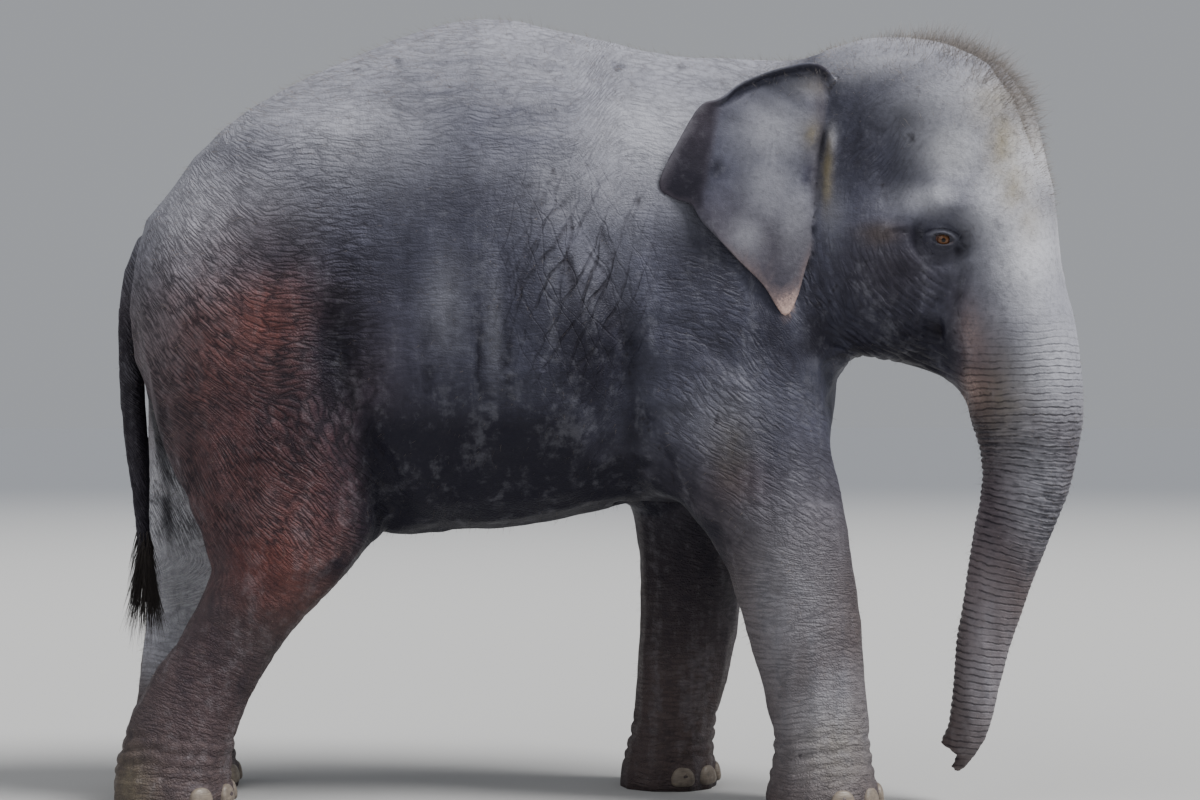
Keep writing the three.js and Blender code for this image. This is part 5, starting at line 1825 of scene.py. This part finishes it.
        # pale spots: painted highlights on the brow, forehead, cheek and trunk front, and pale skin at the
        # ear root
        light = self.spots(
            face,
            (0.4, 0.2, 1.585, 0.1, far, 0.085, 1.15), (0.5, 0.14, 1.46, 0.085, far, 0.17, 1.05),
            (0.55, 0.12, 1.34, 0.095, far, 0.14, 1.1), (0.57, 0.1, 1.22, 0.09, far, 0.1, 0.9),
            (0.345, 0.2, 1.475, 0.09, far, 0.04, 1.0), (0.38, 0.2, 1.72, 0.14, far, 0.11, 0.95),
            (0.315, 0.2, 1.63, 0.06, far, 0.07, 0.6), (0.61, 0.1, 1.1, 0.1, far, 0.18, 1.0),
            (0.49, 0.1, 1.17, 0.06, far, 0.12, 0.45), (0.56, 0.1, 0.8, 0.08, far, 0.22, 0.62),
            (0.43, 0.1, 0.4, 0.07, far, 0.28, 0.5), (0.1, 0.2, 1.625, 0.014, far, 0.03, 0.8),
            (0.22, 0.2, 1.81, 0.22, far, 0.06, 0.85), (0.11, 0.2, 1.44, 0.03, far, 0.06, 0.25),
        )
        # painted light: upward-facing places of the crown paler
        light = np.maximum(light, 0.8 * ramp(up, 0.3, 0.9) * ramp(z, 1.5, 1.75))
        # painted highlights on the brow, forehead and trunk front
        painted_light = self.spots(
            face,
            (0.395, 0.2, 1.585, 0.065, far, 0.065, 0.55), (0.46, 0.15, 1.68, 0.06, far, 0.08, 0.45),
            (0.555, 0.1, 1.36, 0.05, 0.14, 0.11, 0.7), (0.53, 0.08, 1.56, 0.06, far, 0.12, 0.8),
            (0.36, 0.2, 1.65, 0.06, far, 0.05, 0.15),
        )
        pink = self.spots(
            face,
            (0.42, 0.1, 1.14, 0.03, far, 0.08, 0.2), (0.41, 0.1, 1.02, 0.03, 0.12, 0.05, 0.38),
            (0.389, 0.0, 0.985, 0.02, 0.05, 0.03, 0.8),
        )
        olive = self.spots(
            face,
            (0.5, 0.15, 1.6, 0.03, far, 0.07, 0.85), (0.525, 0.14, 1.5, 0.026, far, 0.06, 0.7),
            (0.48, 0.1, 1.7, 0.05, far, 0.06, 0.45), (0.092, 0.2, 1.545, 0.013, far, 0.07, 1.0),
            (0.058, 0.2, 1.55, 0.02, far, 0.08, 0.42), (0.555, 0.1, 1.42, 0.02, far, 0.05, 0.4),
            (0.22, 0.2, 1.385, 0.035, far, 0.024, 0.14), (0.48, 0.1, 1.0, 0.08, far, 0.12, 0.3),
        )
        trunk = ramp(z, 1.12, 0.95) * ramp(x, 0.2, 0.26)
        brown = self.spots(
            face, (0.25, 0.2, 1.3, 0.12, far, 0.1, 0.35), (0.225, 0.2, 1.385, 0.06, far, 0.03, 0.8)
        )
        brown = np.maximum(0.55 * trunk, brown)
        rust = self.spots(
            face, (0.45, 0.1, 1.06, 0.05, far, 0.12, 0.22), (0.42, 0.1, 0.6, 0.1, far, 0.3, 0.12)
        )
        # painted shade in the mouth corner, between jaw and neck and at the eye's inner corner
        recess_shade = self.spots(
            face,
            (0.336, 0.2, 1.158, 0.018, far, 0.022, 0.9), (0.03, 0.2, 1.1, 0.035, far, 0.09, 0.8),
            (0.399, 0.2, 1.345, 0.008, far, 0.01, 0.6),
        )
        return np.stack([rust, pink, dark, light, brown, painted_light, recess_shade, olive], axis=1) * here[:, None]

    def ear_marks(self, ear: Ear, own: Array, face: Array, gap: Array) -> Array:
        """The eight shares on one ear: pale blade, flap and rim darkened with painted shade, freckled lobe.

        Args:
            ear: the ear.
            own: points in the head's frame.
            face: 1 on the outer face and -1 on the inner one.
            gap: distance to the rim.

        Returns:
            The same eight for each point.
        """
        back, up, _ = ear.local(own)
        seen = np.stack([back, up], axis=1)
        outer = (face > 0).astype(float)
        near = 1.0 if ear.side is Side.RIGHT else 0.3
        flap = ramp(ear.past_crease(back, up), -0.008, 0.02) * ramp(up, -0.14, -0.09)
        top = ramp(up, 0.05, 0.13) * (1 - flap)
        # painted shadow under the rolled rim along the top of the blade
        rim = 0.85 * top * hump(gap - 0.014, 0.0105)
        shade = self.spots(
            seen,
            (0.252, -0.015, 0.024, 0.03, 0.9 * near), (0.212, -0.022, 0.04, 0.014, 0.55 * near),
            (0.055, -0.225, 0.03, 0.04, 0.45), (0.19, -0.07, 0.07, 0.045, 0.3),
            (0.13, -0.14, 0.06, 0.05, 0.26), (-0.03, 0.0, 0.02, 0.11, 0.95), (0.22, 0.12, 0.05, 0.04, 0.34),
            (0.1, 0.13, 0.09, 0.05, 0.26), (0.03, -0.31, 0.02, 0.06, 0.5), (0.07, -0.19, 0.1, 0.1, 0.38),
            (0.02, 0.04, 0.03, 0.1, 0.36),
        )
        # painted shade: the folded flap darker, most towards its bottom, lighter near its edge
        under = flap * (0.5 + 0.38 * ramp(-up, -0.09, 0.05)) * (1 - 0.6 * ramp(gap, 0.012, 0.003))
        dark = np.maximum(np.max([under, rim, shade], axis=0), 0.2) * outer + 0.35 * (1 - outer)
        light = self.spots(
            seen,
            (0.1, 0.08, 0.1, 0.08, 0.84), (0.11, -0.05, 0.07, 0.09, 0.62), (0.05, -0.12, 0.05, 0.1, 0.55),
            (0.02, 0.18, 0.07, 0.03, 0.45), (0.17, -0.17, 0.05, 0.05, 0.5),
        ) * (1 - flap)
        # painted highlight: a pale line along the rim of the blade's upper rear
        edge = 0.3 * ramp(gap, 0.006, 0.003) * ramp(back, 0.0, 0.1) * ramp(up, -0.06, 0.0)
        light = np.maximum(light, edge)
        lobe = ramp(-up - 0.35 * back, 0.262, 0.345)
        edge = 0.14 * hump(gap, 0.014) * ramp(-up, 0.16, 0.26)
        pink = np.maximum(0.95 * lobe, edge)
        stains_and_groove_shade = [0.3 * flap, 0.35 * ramp(-up, 0.0, 0.2), 0.4 * hump(back + 0.02, 0.03)]
        brown = np.max(stains_and_groove_shade, axis=0)
        olive = self.spots(seen, (0.005, 0.075, 0.025, 0.03, 0.6), (0.0, 0.19, 0.04, 0.02, 0.3))
        rust = 0.05 * flap
        none = np.zeros(len(back))
        return np.stack([rust, pink, dark, light * outer, brown, none, none, olive], axis=1)


# ---- toenails


@dataclass
class Toenails:
    """One foot's nails: domed plates of horn set in the rim of the foot."""

    leg: str

    def build(self) -> Piece:
        """Makes the foot's nails as one piece.

        Returns:
            The piece.
        """
        low, high = (Vector(corner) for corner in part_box(f"foot_{self.leg}"))
        middle = (low + high) / 2
        bm = bmesh.new()
        for name in nail_nodes(self.leg):
            nail_low, nail_high = (Vector(corner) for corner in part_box(name))
            centre = (nail_low + nail_high) / 2
            facing = math.atan2(centre.y - middle.y, centre.x - middle.x)
            grown = bmesh.ops.create_uvsphere(bm, u_segments=28, v_segments=20, radius=1.0)["verts"]
            for vertex in grown:
                x, y, z = vertex.co
                widen = 1.0 - 0.16 * z
                vertex.co = (
                    0.015 * math.copysign(abs(x) ** 0.65, x),
                    0.03 * widen * math.copysign(abs(y) ** 0.78, y),
                    0.025 * math.copysign(abs(z) ** (0.95 if z > 0 else 0.6), z),
                )
            centre += Vector((math.cos(facing), math.sin(facing), 0.0)) * 0.001
            turn = Matrix.Rotation(facing, 4, "Z") @ Matrix.Rotation(-0.16, 4, "Y")
            bmesh.ops.transform(bm, matrix=Matrix.Translation(centre) @ turn, verts=grown)
        nails = object_from(bm, f"nails_{self.leg}")
        nails.data.materials.append(NailFinish().dress())
        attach(nails, "root")
        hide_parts(*nail_nodes(self.leg))
        return nails


# ---- hair


@dataclass
class Roots:
    """Where hairs grow on the skin: places, normals, shares of marks and patches for their maps."""

    at: Array
    normals: Array
    marks: Array
    patches: Array

    @classmethod
    def sown(cls, skin: Piece, density: object, count: int, seed: int) -> "Roots":
        """Scatters roots over the skin.

        Args:
            skin: the skin's object.
            density: gives a weight for each of a set of points.
            count: how many roots.
            seed: which scattering.

        Returns:
            The roots.
        """
        mesh = skin.data
        mesh.calc_loop_triangles()
        corners = read_out(mesh.loop_triangles, "vertices", 3)
        at, normals = points_of(mesh), normals_of(mesh)
        marks = read_out(mesh.attributes["marks"].data, "color", 4, np.float32)
        a, b, c = (at[corners[:, n]] for n in range(3))
        weight = np.linalg.norm(np.cross(b - a, c - a), axis=1) * density((a + b + c) / 3)
        dice = np.random.default_rng(seed)
        chosen = np.searchsorted(np.cumsum(weight), dice.random(count) * weight.sum())
        u, v = dice.random(count), dice.random(count)
        u, v = np.where(u + v > 1, 1 - u, u), np.where(u + v > 1, 1 - v, v)
        shares = np.stack([1 - u - v, u, v], axis=1)

        def blend(values: Array) -> Array:
            """Values at the roots, from those at the corners."""
            return (values[corners[chosen]] * shares[:, :, None]).sum(axis=1)

        found = blend(at)
        facing = blend(normals)
        facing /= np.linalg.norm(facing, axis=1)[:, None]
        return cls(found, facing, blend(marks), cls.unwrapped(found))

    @staticmethod
    def unwrapped(at: Array) -> Array:
        """Places on a flat map of the skin: along the body and round it, head and legs set apart.

        Args:
            at: points in the frame, one per row.

        Returns:
            A place between 0 and 1 on the map for each point.
        """
        body, own = STANCE.body(at), STANCE.head(at)
        x, y, z = body.T
        hx, hy, hz = own.T
        round_body = np.arctan2(y, z - 1.15) / (2 * math.pi) + 0.5
        round_head = np.arctan2(hy, hz - 1.4) / (2 * math.pi) + 0.5
        head = (hx > 0.02) & (hz > 0.9)
        low = (z < 0.72) & ~head
        along_head = 0.6 + 0.38 * np.clip(hx / 0.75, 0, 1)
        u = np.where(head, along_head, 0.02 + 0.54 * np.clip((x + 1.22) / 1.9, 0, 1))
        v = np.where(head, 0.4 + 0.58 * round_head, 0.4 + 0.58 * round_body)
        v = np.where(low, 0.02 + 0.34 * np.clip(z / 0.72, 0, 1), v)
        return np.stack([u, v], axis=1)


@dataclass
class Strands:
    """Hairs of one kind, each a bent three-sided spike."""

    name: str
    finish: HairFinish
    width: float
    patch: float = 0.003

    def spike(self) -> tuple[Array, Array]:
        """One upright spike of unit length.

        Returns:
            The points, one per row, and the faces as rows of point numbers.
        """
        bm = bmesh.new()
        bmesh.ops.create_cone(bm, cap_ends=False, segments=3, radius1=1.0, radius2=0.0, depth=1.0)
        bmesh.ops.translate(bm, vec=(0, 0, 0.5), verts=bm.verts)
        for height in (0.35, 0.7):
            bmesh.ops.bisect_plane(
                bm, geom=[*bm.verts, *bm.edges, *bm.faces], plane_co=(0, 0, height), plane_no=(0, 0, 1)
            )
        bmesh.ops.remove_doubles(bm, verts=bm.verts, dist=1e-4)
        bmesh.ops.triangulate(bm, faces=bm.faces)
        bm.verts.index_update()
        points = np.array([vertex.co[:] for vertex in bm.verts])
        faces = np.array([[vertex.index for vertex in face.verts] for face in bm.faces])
        bm.free()
        return points, faces

    def lay(self, roots: Roots, ways: Array, lengths: Array, bends: Array, tones: Array) -> Piece:
        """Sets a spike on every root.

        Args:
            roots: where they grow.
            ways: the direction each sets out in.
            lengths: how long each is.
            bends: how far each tip is carried aside, as a vector.
            tones: how pale each is.

        Returns:
            The hairs' object.
        """
        points, faces = self.spike()
        count, each = len(roots.at), len(points)
        ways = ways / np.linalg.norm(ways, axis=1)[:, None]
        side = np.cross(ways, np.array([0.31, 0.87, 0.39]))
        side /= np.linalg.norm(side, axis=1)[:, None]
        other = np.cross(ways, side)
        x, y, z = points.T
        at = (
            (roots.at - 0.0015 * roots.normals)[:, None, :]
            + (ways * lengths[:, None])[:, None, :] * z[None, :, None]
            + bends[:, None, :] * (z**2)[None, :, None]
            + self.width * (side[:, None, :] * x[None, :, None] + other[:, None, :] * y[None, :, None])
        ).reshape(-1, 3)
        corners = (faces[None] + (np.arange(count) * each)[:, None, None]).reshape(-1, 3)
        mesh = bpy.data.meshes.new(self.name)
        mesh.from_pydata(at.tolist(), [], corners.tolist())
        mesh.shade_smooth()
        keep_floats(mesh, "tone", np.repeat(tones, each))
        keep_floats(mesh, "marks", np.repeat(roots.marks, each, axis=0))
        patch = np.stack([x * 0.5, z - 0.5], axis=1) * self.patch
        spots = (roots.patches[:, None, :] + patch[None]).reshape(-1, 2)
        layer = mesh.uv_layers.new(name="OFBake")
        layer.data.foreach_set("uv", spots[corners.ravel()].astype(np.float32).ravel())
        hairs = linked(self.name, mesh)
        mesh.materials.append(self.finish.dress())
        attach(hairs, "root")
        return hairs


@dataclass
class Coat:
    """The sparse coat: a tall fuzz on the crown, short bristles on the back, chin and trunk."""

    crown_hairs: int = 5600
    body_hairs: int = 9000
    crown_length: float = 0.06
    body_length: float = 0.017

    def build(self, skin: Piece) -> list[Piece]:
        """Grows the coat on the skin."""
        return [self.crown(skin), self.sparse(skin)]

    def crown(self, skin: Piece) -> Piece:
        """The fuzz that stands up from the crown and forehead.

        Args:
            skin: the skin's object.

        Returns:
            The fuzz.
        """

        def density(at: Array) -> Array:
            """How thickly the fuzz stands at each point."""
            x, y, z = STANCE.head(at).T
            top = ramp(z, 1.52, 1.74) * ramp(x, 0.1, 0.3)
            top = top * ramp(np.abs(y), 0.21, 0.12)
            brow = 0.5 * ramp(z, 1.4, 1.6) * ramp(x, 0.42, 0.5)
            nape = 0.25 * ramp(z, 1.7, 1.78) * ramp(x, -0.15, 0.0)
            return np.maximum(np.maximum(top, brow), nape)

        roots = Roots.sown(skin, density, self.crown_hairs, 11)
        own = STANCE.head(roots.at)
        dice = np.random.default_rng(12)
        tall = 0.35 + 0.65 * ramp(own[:, 2], 1.58, 1.78) * ramp(own[:, 0], 0.12, 0.34)
        lengths = self.crown_length * tall * (0.45 + 0.85 * dice.random(len(own)))
        ways = roots.normals + 0.4 * dice.normal(size=own.shape)
        ways = ways + 0.2 * STANCE.ahead + np.array([0, 0, 0.15])
        bends = (0.22 * dice.normal(size=own.shape) + np.array([0, 0, -0.12])) * lengths[:, None]
        tones = np.clip(0.45 + 0.3 * dice.normal(size=len(own)), 0, 1)
        strands = Strands("coat_crown", HairFinish("hair_crown", pale=(0.4, 0.36, 0.33)), 0.00042)
        return strands.lay(roots, ways, lengths, bends, tones)

    def sparse(self, skin: Piece) -> Piece:
        """The short bristles over the rest of the animal, thinnest on the face and feet.

        Args:
            skin: the skin's object.

        Returns:
            The bristles.
        """

        def density(at: Array) -> Array:
            """How thickly the bristles stand at each point."""
            body, own = STANCE.body(at), STANCE.head(at)
            z = body[:, 2]
            hx, hy, hz = own.T
            back = 1.6 * ramp(z, 1.45, 1.8) * (hx < 0.1)
            chin = 2.2 * swell(np.abs(own), (0.3, 0.0, 1.02), (0.12, 0.12, 0.09))
            trunk = 0.9 * ramp(hz, 1.1, 0.9) * ramp(hx, 0.24, 0.3)
            rest = 0.35 + 0.25 * ramp(z, 1.0, 0.8)
            ears = (np.abs(hy) > 0.235) & (hz > 1.15)
            ears &= (hx < 0.14) & (hx > -0.35)
            bare = ramp(z, 0.1, 0.2)
            return np.max([back, chin, trunk, rest], axis=0) * bare * np.where(ears, 0.05, 1)

        roots = Roots.sown(skin, density, self.body_hairs, 21)
        body, own = STANCE.body(roots.at), STANCE.head(roots.at)
        dice = np.random.default_rng(22)
        face = ramp(own[:, 0], 0.05, 0.15) * ramp(own[:, 2], 1.0, 1.1)
        feet = ramp(body[:, 2], 0.35, 0.2)
        lengths = self.body_length * (0.5 + 0.9 * dice.random(len(body)))
        lengths = lengths * (1 - 0.45 * face) * (1 - 0.5 * feet)
        lengths *= 1 + 0.5 * ramp(body[:, 2], 1.6, 1.8)
        lie = np.array([[-0.55, 0.0, -0.55]])
        ways = roots.normals + 0.9 * lie + 0.25 * dice.normal(size=body.shape)
        ways += roots.normals * np.maximum(0.35 - (ways * roots.normals).sum(axis=1), 0)[:, None]
        bends = 0.15 * dice.normal(size=body.shape) * lengths[:, None]
        tones = np.clip(0.3 + 0.25 * dice.normal(size=len(body)), 0, 1)
        return Strands("coat_body", HairFinish("hair_body"), 0.00036).lay(roots, ways, lengths, bends, tones)


@dataclass
class TailTuft:
    """The two rows of wire-thick bristles at the end of the tail, over a short core."""

    hairs: int = 620
    length: float = 0.17

    def build(self, skin: Piece) -> Piece:
        """Grows the tuft from the tail's last stretch.

        Args:
            skin: the skin's object.

        Returns:
            The tuft.
        """
        low, high = (np.array(corner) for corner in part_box("tail_tuft"))

        def density(at: Array) -> Array:
            """How thickly the tuft stands at each point."""
            near = (at[:, 0] < high[0] + 0.03) & (np.abs(at[:, 1] - (low[1] + high[1]) / 2) < 0.05)
            return near * ramp(-at[:, 2], -(high[2] + 0.16), -(high[2] + 0.02)) * (at[:, 2] > high[2] - 0.03)

        roots = Roots.sown(skin, density, self.hairs, 31)
        dice = np.random.default_rng(32)
        drop = ramp(roots.at[:, 2], high[2] - 0.01, high[2] + 0.16)
        lengths = self.length * (0.7 + 0.45 * dice.random(self.hairs)) * (1.0 - 0.35 * drop)
        edge = np.sign(roots.normals[:, 1])[:, None] * np.array([[0.0, 0.16, 0.0]])
        ways = np.array([[0.0, 0.0, -1.0]]) + 0.3 * roots.normals * np.array([1, 1, 0]) + edge
        ways = ways + 0.05 * dice.normal(size=ways.shape)
        bends = (-0.3 * ways * np.array([1, 1, 0]) + 0.05 * dice.normal(size=ways.shape)) * lengths[:, None]
        tones = np.clip(0.3 + 0.3 * dice.normal(size=self.hairs), 0, 1)
        strands = Strands("tail_bristles", HairFinish("hair_tail", pale=(0.06, 0.05, 0.045)), 0.0011)
        tuft = strands.lay(roots, ways, lengths, bends, tones)
        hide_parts("tail_tuft")
        return tuft


@dataclass
class Lashes:
    """A fringe of long lashes on the upper lid of one eye."""

    eye: Eye
    hairs: int = 46
    length: float = 0.024

    def build(self) -> Piece:
        """Sets the lashes along the upper lid's edge."""
        eye = self.eye
        dice = np.random.default_rng(41)
        u = np.linspace(-0.86, 0.8, self.hairs) * eye.half_width + 0.0006 * dice.normal(size=self.hairs)
        power = eye.corner_power
        v = eye.upper * 1.06 * (1 - np.abs(u / eye.half_width) ** power) ** (1 / power)
        ball = np.sqrt(np.maximum(eye.radius**2 - u**2 - v**2, 0)) + 0.0012
        c, s = math.cos(eye.tilt), math.sin(eye.tilt)
        fore, up = c * u + s * v, c * v - s * u
        axes = np.array([eye.fore[:], eye.up[:], eye.out[:]])
        at = np.array(eye.centre) + np.stack([fore, up, ball + 0.002], axis=1) @ axes
        one = np.ones(self.hairs)
        ways = np.stack([0.9 * u / eye.half_width, 0.15 * one, one], axis=1) @ axes
        ways = ways + 0.1 * dice.normal(size=ways.shape)
        lengths = self.length * (0.7 + 0.5 * dice.random(self.hairs))
        bends = np.array([[0.0, 0.0, -0.55]]) * lengths[:, None]
        marks = np.tile([0.0, 0.0, 0.6, 0.0], (self.hairs, 1))
        roots = Roots(at, np.tile(np.array(eye.out), (self.hairs, 1)), marks, Roots.unwrapped(at))
        return Strands(f"lashes_{eye.side.word}", HairFinish("hair_lashes"), 0.00042).lay(
            roots, ways, lengths, bends, np.zeros(self.hairs)
        )


# ---- studio


@dataclass
class Studio:
    """The floor, the lights and the camera."""

    distance: float = 6.83
    eye_height: float = 0.99
    lens: float = 82.0
    floor_reach: float = 90.0
    sky: Triple = (0.36, 0.372, 0.395)
    sun_from: Triple = (0.56, -0.26, 0.79)
    sun_power: float = 5.0
    sun_size: float = 0.45
    fill_from: Triple = (-0.58, -0.42, 0.7)
    fill_power: float = 0.9

    def build(self) -> None:
        """Makes the floor, sky light, sun and camera."""
        bm = bmesh.new()
        bmesh.ops.create_circle(bm, cap_ends=True, segments=96, radius=self.floor_reach)
        floor = object_from(bm, "studio_floor")
        floor.data.materials.append(FloorFinish().dress())
        world = bpy.data.worlds.new("studio_sky")
        world.use_nodes = True
        inputs = world.node_tree.nodes["Background"].inputs
        inputs["Color"].default_value = (*self.sky, 1.0)
        inputs["Strength"].default_value = 1.0
        bpy.context.scene.world = world
        self.lamp("key", self.sun_from, self.sun_power, self.sun_size)
        self.lamp("fill", self.fill_from, self.fill_power, 1.0)
        camera = bpy.data.cameras.new("camera")
        camera.lens = self.lens
        camera.sensor_width = 36.0
        camera.clip_end = 200.0
        stand = linked("camera", camera)
        stand.location = (STANCE.median[0], STANCE.median[1] - self.distance, self.eye_height)
        stand.rotation_euler = (math.pi / 2, 0.0, 0.0)
        bpy.context.scene.camera = stand

    def lamp(self, name: str, way: Triple, power: float, size: float) -> None:
        """Adds one soft far light.

        Args:
            name: the light's name.
            way: the direction it comes from.
            power: its strength.
            size: how wide it looks, as an angle.
        """
        light = bpy.data.lights.new(name, "SUN")
        light.energy, light.angle, light.color = power, size, (1.0, 0.99, 0.98)
        linked(name, light).rotation_euler = (-Vector(way)).to_track_quat("-Z", "Y").to_euler()


def main() -> None:
    """Builds the animal and its studio, piece by piece."""
    logging.basicConfig(level=logging.INFO, format="%(name)s: %(message)s")
    Studio().build()
    eyes = [Eye(side) for side in Side]
    ears = [Ear(Side.RIGHT, 0.72), Ear(Side.LEFT, 0.45)]
    skin = Hide(ears, eyes).build()
    for piece in [*Coat().build(skin), TailTuft().build(skin)]:
        log.info("made %s: %d faces", piece.name, len(piece.data.polygons))
    for eye in eyes:
        log.info("made %s and %s", eye.build().name, Lashes(eye).build().name)
    for leg in LEGS:
        log.info("made %s", Toenails(leg).build().name)


if __name__ == "__main__":
    main()
